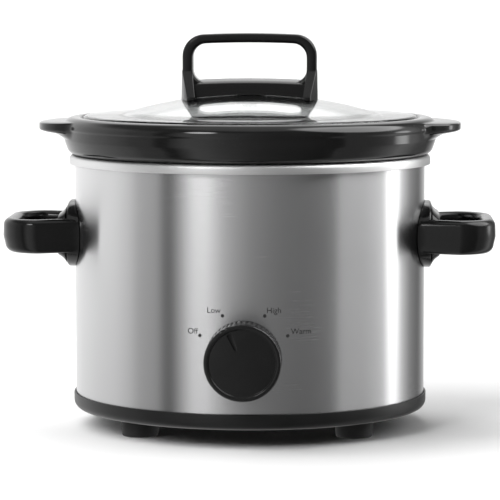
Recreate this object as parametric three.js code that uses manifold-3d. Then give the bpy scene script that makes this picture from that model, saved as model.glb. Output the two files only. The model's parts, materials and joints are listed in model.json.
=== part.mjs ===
// Round two litre slow cooker: steel body, stoneware crock, glass lid, rotary heat switch.
// Millimetres, +Z up, front (the knob) towards -Y, side handles along X.
// Every piece is built about the body's vertical axis, with the table at z = 0, and the
// whole group is then moved so that the origin is the middle of the footprint.

import * as THREE from 'three';
import { mergeVertices } from 'three/addons/utils/BufferGeometryUtils.js';
import Module from 'manifold-3d';

const wasm = await Module();
wasm.setup();

// ---------------------------------------------------------------- driving dimensions

const gap = 0.3; // between pieces that touch or are clamped together
const holeClearance = 0.3; // radial, round every screw, shaft and bush
const roundSegments = 40; // large round pieces
const smallSegments = 16; // screws, feet and bushes

// Feet and base
const footRadius = 10.5;
const footHeight = 10.4; // table to the underside of the base
const footInset = 21.9; // middle of a foot from the shell's outside
const footAngle = 39.8; // degrees from the side to the middle of a foot
const footStemRadius = 3;
const footBarbRadius = 4.4;
const footBarbHeight = 2;
const baseFloor = 2.6; // thickness of the base's floor
const baseBand = 9.1; // height of the black band that shows
const baseLip = 0.9; // wall of the lip round the shell
const baseEdgeRadius = 4.5;
const baseUpstand = 5; // height of the ring that centres the shell
const baseUpstandWall = 2;
const ventCount = 8;
const ventLength = 20;
const ventWidth = 3;
const ventRadius = 45;

// Outer shell
const shellRadius = 100;
const shellWall = 0.6;
const rimTop = 155.5; // top of the heating well's rolled rim above the table

// Heating well
const wellSpace = 8.9; // air between the well and the shell
const wellWall = 0.8;
const wellCornerRadius = 10;
const wellClearance = 2; // over the rotary switch
const rimOverhang = 3.2; // outside the shell
const rimHeight = 5.2;
const rimRoll = 2.2;

// Heater, strap and thermal fuse
const heaterLift = 7.2; // above the floor of the well
const heaterHeight = 32;
const heaterThickness = 2.2;
const heaterSplit = 8;
const strapWidth = 12;
const strapThickness = 0.6;
const strapLugLength = 5.2;
const strapScrewRadius = 1.2;
const strapScrewHeadRadius = 2.2;
const strapScrewHead = 2;
const terminalAngle = 120; // degrees from +X, mirrored to the other side
const terminalWidth = 6.3;
const terminalThickness = 0.8;
const terminalLength = 12;
const fuseRadius = 2;
const fuseLength = 14;
const fuseX = 25;

// Centre tie rod
const rodRadius = 2.5;
const rodFlangeRadius = 9;
const rodFlange = 1.2;
const rodTail = 1; // thread below the nut
const washerRadius = 8;
const washerThickness = 1.1;
const nutAcrossCorners = 11.5;
const nutHeight = 3.2;
const nutRecess = 4; // how far the middle of the base is raised
const nutRecessRadius = 12;

// Crock
const bowlClearance = 1.2; // in the well, at the side and at the floor
const bowlTaper = 3.5; // how much the bowl narrows to its foot
const bowlWall = 6.5;
const bowlFloor = 8;
const bowlCorner = 14;
const crockOverhang = 7; // outside the shell
const crockBand = 21.2; // from the well's rim to the top of the crock
const crockBeadHeight = 6.5;
const lidLedge = 4.5; // depth of the step that the lid sits in
const crockRimWall = 10.7; // beside the lid
const earLength = 13.5; // beyond the rim
const earHalfWidth = 38;
const earThickness = 7.6;
const earBevel = 1.5;
const earDrop = 2.6; // top of the ear below the top of the rim

// Glass lid and its handle
const lidClearance = 0.8; // inside the crock's rim
const lidDomeRadius = 250;
const lidGlass = 4;
const lidBrim = 5; // height of the lid's brim
const lidDomeRise = 11.9; // top of the dome above the brim
const lidBeadWidth = 5; // of the foot under the brim
const lidHandleWidth = 76.5;
const lidHandleBaseDepth = 24;
const lidHandleFootDepth = 44;
const lidHandleFootWidth = 9;
const lidHandleFootRise = 14; // above the glass, where the legs start to widen
const lidHandleBarDepth = 18;
const lidHandleCrown = 1.3; // how much the grip and the saddle rise to their middles
const lidHandleRise = 34.7; // top of the grip above the top of the glass
const lidHandleBarThickness = 5.2;
const lidHandleLegThickness = 5.8;
const lidHandleBaseThickness = 8.6; // at the middle, above the glass
const lidHandleCorner = 11.5;
const lidHandleBend = 7.5; // inside corners of the loop
const lidScrewRadius = 2.5;
const lidScrewReach = 5; // into the handle
const lidScrewHeadRadius = 4.5;
const lidScrewHead = 2.3;
const gasketRadius = 9;
const gasketThickness = 1.2;
const lidWasherRadius = 8;
const lidWasherThickness = 1.3;

// Side handles
const handleDrop = 45.5; // middle of the mounting flange below the well's rim
const handleLength = 40; // beyond the shell
const handleHalfWidth = 38;
const gripBelow = 9.3; // from the middle of the flange
const gripAbove = 10;
const handleWall = 8;
const handleCorner = 21;
const handleBevel = 2.5;
const flangeHalfWidth = 32;
const flangeHalfHeight = 19;
const flangeThickness = 3.6;
const flangeFillet = 9;
const handleScrewSpacing = 20;
const handleScrewRadius = 1.6;
const handleScrewDepth = 4.5; // into the handle
const handleScrewHeadRadius = 3.4;
const handleScrewHead = 1.6;
const handlePlateWidth = 14;
const handlePlateHeight = 34;
const handlePlateThickness = 1.2;

// Knob and rotary switch
const knobHeight = 50; // middle of the knob above the table
const knobSetting = 24; // degrees that the pointer stands to the left of the top
const knobRadius = 21;
const knobStandOff = 20; // front face from the shell
const knobGap = 1.3; // rear edge from the shell
const knobWall = 2;
const knobFace = 3;
const knobDish = 0.8;
const knobRimWidth = 1.8;
const hubRadius = 6.5;
const hubGap = 4; // rear end of the hub from the shell
const shaftRadius = 3;
const shaftFlat = 2.2; // from the shaft's centre to its flat
const shaftLength = 15; // beyond the shell
const clipThickness = 0.6;
const clipWidth = 4;
const switchSize = 28;
const switchDepth = 16;
const switchWall = 2;
const switchCollarRadius = 5;
const switchCollarLength = 1.6; // beyond the shell
const switchScrewX = 10;
const switchScrewRadius = 1.5;
const switchScrewHeadRadius = 2.7;
const switchScrewHead = 1.4;
const camRadius = 8;
const camLength = 7;
const tabSpacing = 8;
const tabWidth = 6.3;
const tabThickness = 0.8;
const tabLength = 13;

// Cord outlet and leads
const glandHeight = 34;
const glandNeckRadius = 6;
const glandBore = 3.2;
const glandFlangeRadius = 9;
const glandFlange = 3;
const glandLength = 12;
const glandClipWidth = 2.1;
const leadRadius = 1.2;
const leadSides = 8;
const leadSteps = 12;

// ---------------------------------------------------------------- worked out from them

// The large round walls are faceted, with a corner on each of the X and Y axes. A wall
// stands back from its round radius between two corners, and beside a corner.
const facetAngle = Math.PI / roundSegments;

function facetInside(radius) {
  return radius * Math.cos(facetAngle);
}

function facetDrop(offset) {
  return offset * Math.tan(facetAngle);
}

const baseTop = footHeight + baseFloor;
const lipTop = footHeight + baseBand;
const footCircle = shellRadius - footInset;
const footX = footCircle * Math.cos(THREE.MathUtils.degToRad(footAngle));
const footY = footCircle * Math.sin(THREE.MathUtils.degToRad(footAngle));
const shellInner = shellRadius - shellWall;
const shellBottom = baseTop + gap;
const rimUnderside = rimTop - wellWall;
const shellTop = rimUnderside - gap;
const rimRadius = shellRadius + rimOverhang;
const wellOuter = shellInner - wellSpace;
const wellRadius = wellOuter - wellWall;
const wellUnderside = knobHeight + switchSize / 2 + wellClearance;
const wellFloorHeight = wellUnderside + wellWall;
const heaterBottom = wellFloorHeight + heaterLift;
const heaterInner = wellOuter + gap;
const heaterOuter = heaterInner + heaterThickness;
const strapInner = heaterOuter + gap;
const strapOuter = strapInner + strapThickness;
const strapHeight = heaterBottom + heaterHeight / 2;
const strapScrewY = strapOuter + gap + strapScrewHeadRadius;
const terminalTop = heaterBottom - gap;
const terminalRadius = heaterInner + heaterThickness / 2;
const rodTop = wellUnderside - gap;
const recessTop = footHeight + nutRecess;
const washerTop = recessTop - gap;
const nutTop = washerTop - washerThickness - gap;
const crockSeat = rimTop + gap;
const crockTop = crockSeat + crockBand;
const crockFoot = wellFloorHeight + bowlClearance;
const crockRimRadius = shellRadius + crockOverhang;
const bowlRadius = wellRadius - bowlClearance;
const lidLedgeRadius = crockRimRadius - crockRimWall;
const earReach = crockRimRadius + earLength;
const lidSeat = crockTop - lidLedge;
const lidFoot = lidSeat + gap;
const lidRadius = lidLedgeRadius - lidClearance;
const brimTop = lidFoot + lidBrim;
const lidTop = brimTop + lidDomeRise;
const domeCentre = lidTop - lidDomeRadius;
const gasketBottom = lidTop + gap;
const gasketTop = gasketBottom + gasketThickness;
const handleSeat = gasketTop + gap;
const gripTop = lidTop + lidHandleRise;
const glassUnderside = lidDomeRadius - lidGlass;
const lidWasherTop = domeCentre + Math.sqrt(glassUnderside ** 2 - lidWasherRadius ** 2) - gap;
const lidScrewSeat = lidWasherTop - lidWasherThickness - gap;
const handleReach = shellRadius + handleLength;
const handleHeight = rimTop - handleDrop;
const handleBottom = handleHeight - gripBelow;
const handleTop = handleHeight + gripAbove;
const knobReach = shellRadius + knobStandOff;
const knobBack = shellRadius + knobGap;
const hubBack = shellRadius + hubGap;
const shaftFront = shellRadius + shaftLength;
const switchFront = Math.sqrt(facetInside(shellInner) ** 2 - (switchSize / 2) ** 2) - gap;
const switchCollarFront = shellRadius + switchCollarLength;
const switchBack = switchFront - switchDepth;
const coverFront = switchBack - gap;
const coverBack = coverFront - switchWall;
const tabFront = switchBack + 2;
const tabBack = tabFront - tabLength;
const bodyShift = (knobReach - crockRimRadius) / 2;

// ---------------------------------------------------------------- helpers

function solidOf(geometry) {
  const bare = geometry.clone();
  bare.deleteAttribute('normal');
  bare.deleteAttribute('uv');
  const merged = mergeVertices(bare, 1e-4);
  const corners = merged.index.array;
  const triangles = [];
  for (let i = 0; i < corners.length; i += 3) {
    const [a, b, c] = corners.slice(i, i + 3);
    if (a !== b && b !== c && c !== a) triangles.push(a, b, c);
  }
  return new wasm.Manifold(new wasm.Mesh({
    numProp: 3,
    vertProperties: merged.attributes.position.array,
    triVerts: Uint32Array.from(triangles),
  }));
}

function geometryOf(solid) {
  const mesh = solid.getMesh();
  const geometry = new THREE.BufferGeometry();
  geometry.setAttribute('position', new THREE.BufferAttribute(mesh.vertProperties, 3));
  geometry.setIndex(new THREE.BufferAttribute(mesh.triVerts, 1));
  geometry.computeVertexNormals();
  return geometry;
}

// Points of a circular arc, by centre, radius and angles in degrees.
function arc(centreX, centreY, radius, from, to, steps) {
  const points = [];
  for (let i = 0; i <= steps; i += 1) {
    const angle = THREE.MathUtils.degToRad(from + (to - from) * i / steps);
    points.push([centreX + radius * Math.cos(angle), centreY + radius * Math.sin(angle)]);
  }
  return points;
}

// Solid of revolution about Z from a counter-clockwise outline of [radius, height] points.
function turned(outline, segments) {
  const closed = outline[0][0] === 0 ? outline : [...outline, outline[0]];
  const points = closed.map(([radius, height]) => new THREE.Vector2(radius, height));
  const geometry = new THREE.LatheGeometry(points, segments);
  geometry.rotateX(Math.PI / 2);
  return geometry;
}

// Plate from an outline in X and Y, standing on z = 0.
function plate(outline, thickness, bevel = 0, steps = 2) {
  const shape = new THREE.Shape(outline.map(([x, y]) => new THREE.Vector2(x, y)));
  const geometry = new THREE.ExtrudeGeometry(shape, {
    depth: thickness - 2 * bevel,
    bevelEnabled: bevel > 0,
    bevelThickness: bevel,
    bevelSize: bevel,
    bevelOffset: -bevel,
    bevelSegments: steps,
    curveSegments: 1,
  });
  geometry.translate(0, 0, bevel);
  return geometry;
}

function rod(radius, from, to, segments = smallSegments) {
  const geometry = new THREE.CylinderGeometry(radius, radius, to - from, segments);
  geometry.rotateX(Math.PI / 2);
  geometry.translate(0, 0, (from + to) / 2);
  return geometry;
}

function box(sizeX, sizeY, sizeZ, x, y, z) {
  const geometry = new THREE.BoxGeometry(sizeX, sizeY, sizeZ);
  geometry.translate(x, y, z);
  return geometry;
}

// Turns a piece made along +Z so that it points to the front, at the given place.
function facingFront(geometry, x, z) {
  geometry.rotateX(Math.PI / 2);
  geometry.translate(x, 0, z);
  return geometry;
}

// Turns a piece made along +Z so that it points away from the axis along +X.
function facingSide(geometry, z) {
  geometry.rotateY(Math.PI / 2);
  geometry.translate(0, 0, z);
  return geometry;
}

const cooker = new THREE.Group();

function addPiece(name, geometry, look, parent = cooker) {
  const mesh = new THREE.Mesh(geometry, new THREE.MeshStandardMaterial(look));
  mesh.name = name;
  parent.add(mesh);
}

const steel = { color: 0xbfc1c3, roughness: 0.32, metalness: 1 };
const satin = { color: 0xdedfe0, roughness: 0.45, metalness: 0.9 };
const zinc = { color: 0xaeb2b4, roughness: 0.4, metalness: 1 };
const brass = { color: 0xc9a860, roughness: 0.4, metalness: 1 };
const glossBlack = { color: 0x151515, roughness: 0.18, metalness: 0 };
const matteBlack = { color: 0x1c1c1c, roughness: 0.6, metalness: 0 };
const glaze = { color: 0x101010, roughness: 0.12, metalness: 0 };
const glass = { color: 0xe6ecec, roughness: 0.05, metalness: 0 };
const rubber = { color: 0x181818, roughness: 0.85, metalness: 0 };
const silicone = { color: 0xd8d8d4, roughness: 0.6, metalness: 0 };
const mica = { color: 0xb8a98c, roughness: 0.8, metalness: 0 };
const phenolic = { color: 0x3a2a20, roughness: 0.55, metalness: 0 };
const insulation = { color: 0xe9e6dc, roughness: 0.7, metalness: 0 };

// ---------------------------------------------------------------- base and feet

function baseOutline() {
  const lipOuter = shellRadius + gap + baseLip;
  const lipInner = shellRadius + gap;
  const upstandOuter = shellInner - gap;
  const upstandInner = upstandOuter - baseUpstandWall;
  const boss = rodRadius + holeClearance;
  return [
    [boss, recessTop],
    [nutRecessRadius, recessTop],
    [nutRecessRadius, footHeight],
    ...arc(lipOuter - baseEdgeRadius, footHeight + baseEdgeRadius, baseEdgeRadius, -90, 0, 3),
    [lipOuter, lipTop - baseLip / 2],
    [lipOuter - baseLip / 2, lipTop],
    [lipInner, lipTop],
    [lipInner, baseTop],
    [upstandOuter, baseTop],
    [upstandOuter, baseTop + baseUpstand],
    [upstandInner, baseTop + baseUpstand],
    [upstandInner, baseTop],
    [nutRecessRadius + baseFloor, baseTop],
    [nutRecessRadius + baseFloor, recessTop + baseFloor],
    [boss, recessTop + baseFloor],
  ];
}

function footPlaces() {
  return [
    ['front_left', -footX, -footY],
    ['front_right', footX, -footY],
    ['rear_left', -footX, footY],
    ['rear_right', footX, footY],
  ];
}

function addBasePan() {
  let pan = solidOf(turned(baseOutline(), roundSegments));
  for (const [, x, y] of footPlaces()) {
    const hole = rod(footStemRadius + holeClearance, footHeight - 1, baseTop + 1);
    pan = pan.subtract(solidOf(hole.translate(x, y, 0)));
  }
  for (let i = 0; i < ventCount; i += 1) {
    const vent = box(ventLength, ventWidth, baseFloor + 2, ventRadius, 0, footHeight + baseFloor / 2);
    vent.rotateZ((i + 0.5) * 2 * Math.PI / ventCount);
    pan = pan.subtract(solidOf(vent));
  }
  addPiece('base_pan', geometryOf(pan), matteBlack);
}

function addFeet() {
  const shoulder = footHeight - gap;
  const barbBottom = baseTop + gap;
  const edge = 3;
  const outline = [
    [0, 0],
    ...arc(footRadius - edge, edge, edge, -90, 0, 2),
    [footRadius, shoulder],
    [footStemRadius, shoulder],
    [footStemRadius, barbBottom],
    [footBarbRadius, barbBottom],
    [footStemRadius, barbBottom + footBarbHeight],
    [0, barbBottom + footBarbHeight],
  ];
  for (const [corner, x, y] of footPlaces()) {
    const place = new THREE.Group();
    place.position.set(x, y, 0);
    cooker.add(place);
    addPiece(`foot_${corner}`, geometryOf(solidOf(turned(outline, smallSegments))), rubber, place);
  }
}

// ---------------------------------------------------------------- shell and heating well

function addOuterShell() {
  const outline = [
    [shellInner, shellBottom],
    [shellRadius, shellBottom],
    [shellRadius, shellTop],
    [shellInner, shellTop],
  ];
  const from = shellRadius - 5;
  const to = shellRadius + 5;
  let shell = solidOf(turned(outline, roundSegments));
  const collarHole = rod(switchCollarRadius + holeClearance, from, to);
  shell = shell.subtract(solidOf(facingFront(collarHole, 0, knobHeight)));
  for (const side of [-1, 1]) {
    const switchHole = rod(switchScrewRadius + holeClearance, from, to);
    shell = shell.subtract(solidOf(facingFront(switchHole, side * switchScrewX, knobHeight)));
    for (const level of [-0.5, 0.5]) {
      const hole = rod(handleScrewRadius + holeClearance, from, to);
      facingSide(hole, handleHeight + level * handleScrewSpacing);
      if (side < 0) hole.rotateZ(Math.PI);
      shell = shell.subtract(solidOf(hole));
    }
  }
  const glandHole = facingFront(rod(glandNeckRadius + holeClearance, from, to), 0, glandHeight);
  shell = shell.subtract(solidOf(glandHole.rotateZ(Math.PI)));
  addPiece('outer_shell', geometryOf(shell), steel);
}

// Pan with a rim that turns out over the shell's top edge and down outside it.
function addHeatingWell() {
  const lipInner = rimRadius - wellWall;
  const rollInner = rimRoll - wellWall;
  const bend = 2;
  const outline = [
    [0, wellUnderside],
    ...arc(wellOuter - wellCornerRadius, wellUnderside + wellCornerRadius, wellCornerRadius, -90, 0, 3),
    ...arc(wellOuter + bend, rimUnderside - bend, bend, 180, 90, 1),
    ...arc(lipInner - rollInner, rimUnderside - rollInner, rollInner, 90, 0, 2),
    [lipInner, rimTop - rimHeight],
    [rimRadius, rimTop - rimHeight],
    ...arc(rimRadius - rimRoll, rimTop - rimRoll, rimRoll, 0, 90, 3),
    ...arc(wellRadius + bend + wellWall, rimTop - bend - wellWall, bend + wellWall, 90, 180, 2),
    ...arc(
      wellRadius - wellCornerRadius + wellWall,
      wellFloorHeight + wellCornerRadius - wellWall,
      wellCornerRadius - wellWall,
      0,
      -90,
      3,
    ),
    [0, wellFloorHeight],
  ];
  addPiece('heating_well', geometryOf(solidOf(turned(outline, roundSegments))), satin);
}

// ---------------------------------------------------------------- heater

function ring(inner, outer, bottom, height, segments = roundSegments) {
  const top = bottom + height;
  return turned([[inner, bottom], [outer, bottom], [outer, top], [inner, top]], segments);
}

// The band is split at the rear, where the strap round it is drawn together.
function addHeaterBand() {
  const band = solidOf(ring(heaterInner, heaterOuter, heaterBottom, heaterHeight));
  const split = box(heaterSplit, 20, heaterHeight + 2, 0, heaterInner, strapHeight);
  addPiece('heater_band', geometryOf(band.subtract(solidOf(split))), mica);
}

function addHeaterStrap() {
  const lugOuter = strapInner + strapLugLength;
  const lugX = heaterSplit / 2;
  const bottom = strapHeight - strapWidth / 2;
  let strap = solidOf(ring(strapInner, strapOuter, bottom, strapWidth));
  strap = strap.subtract(solidOf(box(heaterSplit, 20, strapWidth + 2, 0, strapInner, strapHeight)));
  for (const side of [-1, 1]) {
    const lug = box(
      strapThickness,
      strapLugLength,
      strapWidth,
      side * (lugX + strapThickness / 2),
      (strapInner + lugOuter) / 2,
      strapHeight,
    );
    strap = strap.add(solidOf(lug));
  }
  const hole = rod(strapScrewRadius + holeClearance, -lugX - 2, lugX + 2, 12);
  hole.rotateY(Math.PI / 2);
  hole.translate(0, strapScrewY, strapHeight);
  addPiece('heater_strap', geometryOf(strap.subtract(solidOf(hole))), zinc);
}

function addStrapScrew() {
  const place = new THREE.Group();
  place.position.set(0, strapScrewY, strapHeight);
  place.rotation.y = Math.PI / 2;
  cooker.add(place);
  const face = heaterSplit / 2 + strapThickness + gap;
  const outline = [
    [0, -face - strapScrewHead],
    [strapScrewHeadRadius, -face - strapScrewHead],
    [strapScrewHeadRadius, -face],
    [strapScrewRadius, -face],
    [strapScrewRadius, face + strapScrewHead + 1],
    [0, face + strapScrewHead + 1],
  ];
  addPiece('strap_screw', geometryOf(solidOf(turned(outline, 12))), zinc, place);
  const bore = strapScrewRadius + holeClearance;
  const nut = ring(bore, strapScrewHeadRadius, face, strapScrewHead, 8);
  addPiece('strap_nut', geometryOf(solidOf(nut)), zinc, place);
}

function addHeaterTerminals() {
  for (const [name, angle] of [['left', terminalAngle], ['right', 180 - terminalAngle]]) {
    const place = new THREE.Group();
    place.rotation.z = THREE.MathUtils.degToRad(angle);
    cooker.add(place);
    const centre = terminalTop - terminalLength / 2;
    const tab = box(terminalThickness, terminalWidth, terminalLength, terminalRadius, 0, centre);
    addPiece(`heater_terminal_${name}`, geometryOf(solidOf(tab)), brass, place);
  }
}

// A glass-fibre sleeved fuse held against the underside of the well by a spring clip.
function addThermalFuse() {
  const place = new THREE.Group();
  place.position.set(fuseX, 0, wellUnderside - gap - fuseRadius);
  cooker.add(place);
  const body = rod(fuseRadius, -fuseLength / 2, fuseLength / 2, 16);
  body.rotateX(Math.PI / 2);
  addPiece('thermal_fuse', geometryOf(solidOf(body)), insulation, place);

  const inner = fuseRadius + gap;
  const sheet = 0.5;
  const outer = inner + sheet;
  const footLength = 5;
  const outline = [
    [outer + footLength, fuseRadius - sheet],
    [outer + footLength, fuseRadius],
    [inner, fuseRadius],
    ...arc(0, 0, inner, 0, -180, 8),
    [-inner, fuseRadius],
    [-outer - footLength, fuseRadius],
    [-outer - footLength, fuseRadius - sheet],
    [-outer, fuseRadius - sheet],
    ...arc(0, 0, outer, 180, 360, 8),
    [outer, fuseRadius - sheet],
  ];
  const clip = plate(outline.reverse(), 6);
  clip.rotateX(Math.PI / 2);
  clip.translate(0, 3, 0);
  addPiece('fuse_clip', geometryOf(solidOf(clip)), zinc, place);
}

// ---------------------------------------------------------------- centre tie rod

function addTieRod() {
  const flangeBottom = rodTop - rodFlange;
  const tail = nutTop - nutHeight - rodTail;
  const outline = [
    [0, tail],
    [rodRadius - 0.5, tail],
    [rodRadius, tail + 0.5],
    [rodRadius, flangeBottom],
    [rodFlangeRadius, flangeBottom],
    [rodFlangeRadius, rodTop],
    [0, rodTop],
  ];
  addPiece('tie_rod', geometryOf(solidOf(turned(outline, smallSegments))), zinc);

  const bore = rodRadius + holeClearance;
  const washer = ring(bore, washerRadius, washerTop - washerThickness, washerThickness, smallSegments);
  addPiece('base_washer', geometryOf(solidOf(washer)), zinc);
  const nut = solidOf(rod(nutAcrossCorners / 2, nutTop - nutHeight, nutTop, 6));
  const nutBore = solidOf(rod(bore, nutTop - nutHeight - 1, nutTop + 1));
  addPiece('base_nut', geometryOf(nut.subtract(nutBore)), zinc);
}

// ---------------------------------------------------------------- crock

function crockOutline() {
  const footRadiusOuter = bowlRadius - bowlTaper;
  const innerTop = bowlRadius - bowlWall;
  const innerFoot = footRadiusOuter - bowlWall;
  const innerFloor = crockFoot + bowlFloor;
  const innerCorner = bowlCorner - bowlWall;
  const bead = crockBeadHeight / 2;
  const beadCentre = crockTop - bead;
  const bandRadius = crockRimRadius - 0.6;
  const bandBottomRadius = shellRadius + 1.4;
  const ledgeRound = 2;
  const innerRound = 3;
  return [
    [0, crockFoot + 1.5],
    [footRadiusOuter - bowlCorner - 3, crockFoot + 1.5],
    [footRadiusOuter - bowlCorner, crockFoot],
    ...arc(footRadiusOuter - bowlCorner, crockFoot + bowlCorner, bowlCorner, -90, -4, 3),
    ...arc(bowlRadius + ledgeRound, crockSeat - ledgeRound, ledgeRound, 180, 90, 1),
    [bandBottomRadius, crockSeat],
    [bandBottomRadius + 2.6, crockSeat + 2],
    [bandRadius - 1.2, crockSeat + 5],
    [bandRadius, crockSeat + 9.5],
    [bandRadius, beadCentre - bead],
    ...arc(crockRimRadius - bead, beadCentre, bead, -30, 90, 3),
    ...arc(lidLedgeRadius + 2, crockTop - 2, 2, 90, 180, 2),
    [lidLedgeRadius, lidSeat],
    ...arc(innerTop + innerRound, lidSeat - innerRound, innerRound, 90, 180, 1),
    ...arc(innerFoot - innerCorner, innerFloor + innerCorner, innerCorner, 0, -90, 3),
    [0, innerFloor],
  ];
}

// Plan of one ear: half an ellipse that starts inside the rim.
function earOutline() {
  const root = lidLedgeRadius + 5;
  const steps = 14;
  const points = [[root - 6, -earHalfWidth], [root - 6, earHalfWidth]];
  for (let i = 0; i <= steps; i += 1) {
    const angle = Math.PI / 2 - Math.PI * i / steps;
    points.push([root + (earReach - root) * Math.cos(angle), earHalfWidth * Math.sin(angle)]);
  }
  return points.reverse();
}

function addCrock() {
  let crock = solidOf(turned(crockOutline(), roundSegments));
  const bowlSpace = solidOf(rod(lidLedgeRadius + 3, crockFoot, crockTop + 5, roundSegments));
  for (const turn of [0, Math.PI]) {
    const ear = plate(earOutline(), earThickness, earBevel, 2);
    ear.translate(0, 0, crockTop - earDrop - earThickness);
    ear.rotateZ(turn);
    crock = crock.add(solidOf(ear).subtract(bowlSpace));
  }
  addPiece('crock', geometryOf(crock), glaze);
}

// ---------------------------------------------------------------- lid

// Height of a sphere of the dome's centre at a distance from the axis.
function domeHeight(sphereRadius, distance) {
  return domeCentre + Math.sqrt(sphereRadius ** 2 - distance ** 2);
}

function domeArc(sphereRadius, from, to, steps) {
  const points = [];
  for (let i = 0; i <= steps; i += 1) {
    const distance = from + (to - from) * i / steps;
    points.push([distance, domeHeight(sphereRadius, distance)]);
  }
  return points;
}

// Distance from the axis at which a sphere of the dome's centre is at a height.
function domeReach(sphereRadius, height) {
  return Math.sqrt(sphereRadius ** 2 - (height - domeCentre) ** 2);
}

function addGlassLid() {
  const bore = lidScrewRadius + holeClearance;
  const brimUnderside = brimTop - lidGlass;
  const beadStart = lidRadius - lidBeadWidth;
  const edge = 2;
  const outline = [
    ...domeArc(glassUnderside, bore, domeReach(glassUnderside, brimUnderside), 4),
    [beadStart, brimUnderside],
    [beadStart + 0.5, lidFoot],
    ...arc(lidRadius - edge, lidFoot + edge, edge, -90, 0, 2),
    ...arc(lidRadius - edge, brimTop - edge, edge, 0, 90, 2),
    ...domeArc(lidDomeRadius, domeReach(lidDomeRadius, brimTop), bore, 5),
  ];
  addPiece('glass_lid', geometryOf(solidOf(turned(outline, roundSegments))), glass);
}

// A line from one side to the other that rises to its middle, as [x, z] points.
function crowned(halfWidth, height, rise, steps) {
  const points = [];
  for (let i = 0; i <= steps; i += 1) {
    const x = halfWidth * (1 - 2 * i / steps);
    points.push([x, height + rise * (1 - (x / halfWidth) ** 2)]);
  }
  return points;
}

// Front view of the handle: outer loop and the opening through it, both with round corners.
function loopShape() {
  const half = lidHandleWidth / 2;
  const inner = half - lidHandleLegThickness;
  const shoulder = gripTop - lidHandleCrown;
  const openingTop = shoulder - lidHandleBarThickness;
  const openingBottom = lidTop + lidHandleBaseThickness - lidHandleCrown;
  const corner = lidHandleCorner;
  const bend = lidHandleBend;
  const outer = [
    [-half - 0.8, lidTop - 8],
    [half + 0.8, lidTop - 8],
    ...arc(half - corner, shoulder - corner, corner, 0, 75, 4),
    ...crowned(half - corner, shoulder, lidHandleCrown, 4),
    ...arc(corner - half, shoulder - corner, corner, 105, 180, 4),
  ];
  const opening = [
    ...arc(bend - inner, openingBottom + bend, bend, 180, 255, 3),
    ...crowned(bend - inner, openingBottom, lidHandleCrown, 4),
    ...arc(inner - bend, openingBottom + bend, bend, 285, 360, 3),
    ...arc(inner - bend, openingTop - bend, bend, 0, 75, 3),
    ...crowned(inner - bend, openingTop, lidHandleCrown, 4),
    ...arc(bend - inner, openingTop - bend, bend, 105, 180, 3),
  ];
  return { outer, opening };
}

// Extrudes a front view (x, z) symmetrically to the given depth front to back.
function upright(outline, depth, bevel = 0) {
  const geometry = plate(outline, depth, bevel, 1);
  geometry.translate(0, 0, -depth / 2);
  geometry.rotateX(Math.PI / 2);
  return geometry;
}

// One leg's foot, a side view (y, z) that widens downwards, as thick as a leg and more.
function lidHandleFoot(side) {
  const half = lidHandleFootDepth / 2;
  const neck = lidHandleBarDepth / 2 - 1;
  const profile = [
    [lidTop - 8, -half],
    [lidTop - 8, half],
    [lidTop - 2, half],
    [lidTop + lidHandleFootRise, neck],
    [lidTop + lidHandleFootRise, -neck],
    [lidTop - 2, -half],
  ];
  const foot = plate(profile.map(([z, y]) => [-z, y]), lidHandleFootWidth);
  foot.rotateY(Math.PI / 2);
  const outside = lidHandleWidth / 2 + 0.8;
  foot.translate(side > 0 ? outside - lidHandleFootWidth : -outside, 0, 0);
  return solidOf(foot);
}

function addLidHandle() {
  const { outer, opening } = loopShape();
  const saddleTop = lidTop + lidHandleBaseThickness;
  const saddle = box(
    lidHandleWidth,
    lidHandleBaseDepth,
    lidHandleBaseThickness + 8,
    0,
    0,
    saddleTop - (lidHandleBaseThickness + 8) / 2,
  );
  const dome = turned([
    [0, lidTop - 30],
    [lidHandleWidth, lidTop - 30],
    ...domeArc(lidDomeRadius + gap, lidHandleWidth, 0, 12),
  ], roundSegments);
  let handle = solidOf(upright(outer, lidHandleBarDepth, 1.5)).add(solidOf(saddle));
  handle = handle.add(lidHandleFoot(-1)).add(lidHandleFoot(1));
  handle = handle.subtract(solidOf(upright(opening, lidHandleFootDepth + 10)));
  handle = handle.subtract(solidOf(dome));
  const recess = rod(gasketRadius + gap, lidTop - 5, handleSeat, 24);
  handle = handle.subtract(solidOf(recess));
  const pilot = rod(lidScrewRadius + holeClearance, lidTop, handleSeat + lidScrewReach + gap);
  handle = handle.subtract(solidOf(pilot));
  addPiece('lid_handle', geometryOf(handle), glossBlack);
}

function addLidFixings() {
  const bore = lidScrewRadius + holeClearance;
  const gasket = ring(bore, gasketRadius, gasketBottom, gasketThickness, 24);
  addPiece('lid_gasket', geometryOf(solidOf(gasket)), silicone);
  const washerBottom = lidWasherTop - lidWasherThickness;
  const washer = ring(bore, lidWasherRadius, washerBottom, lidWasherThickness, 24);
  addPiece('lid_washer', geometryOf(solidOf(washer)), steel);
  const headBottom = lidScrewSeat - lidScrewHead;
  const outline = [
    [0, headBottom],
    [lidScrewHeadRadius - 1, headBottom],
    [lidScrewHeadRadius, headBottom + 1],
    [lidScrewHeadRadius, lidScrewSeat],
    [lidScrewRadius, lidScrewSeat],
    [lidScrewRadius, handleSeat + lidScrewReach],
    [0, handleSeat + lidScrewReach],
  ];
  let screw = solidOf(turned(outline, smallSegments));
  screw = screw.subtract(solidOf(box(lidScrewHeadRadius * 3, 1.2, 1.6, 0, 0, headBottom)));
  addPiece('lid_screw', geometryOf(screw), steel);
}

// ---------------------------------------------------------------- side handles

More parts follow.
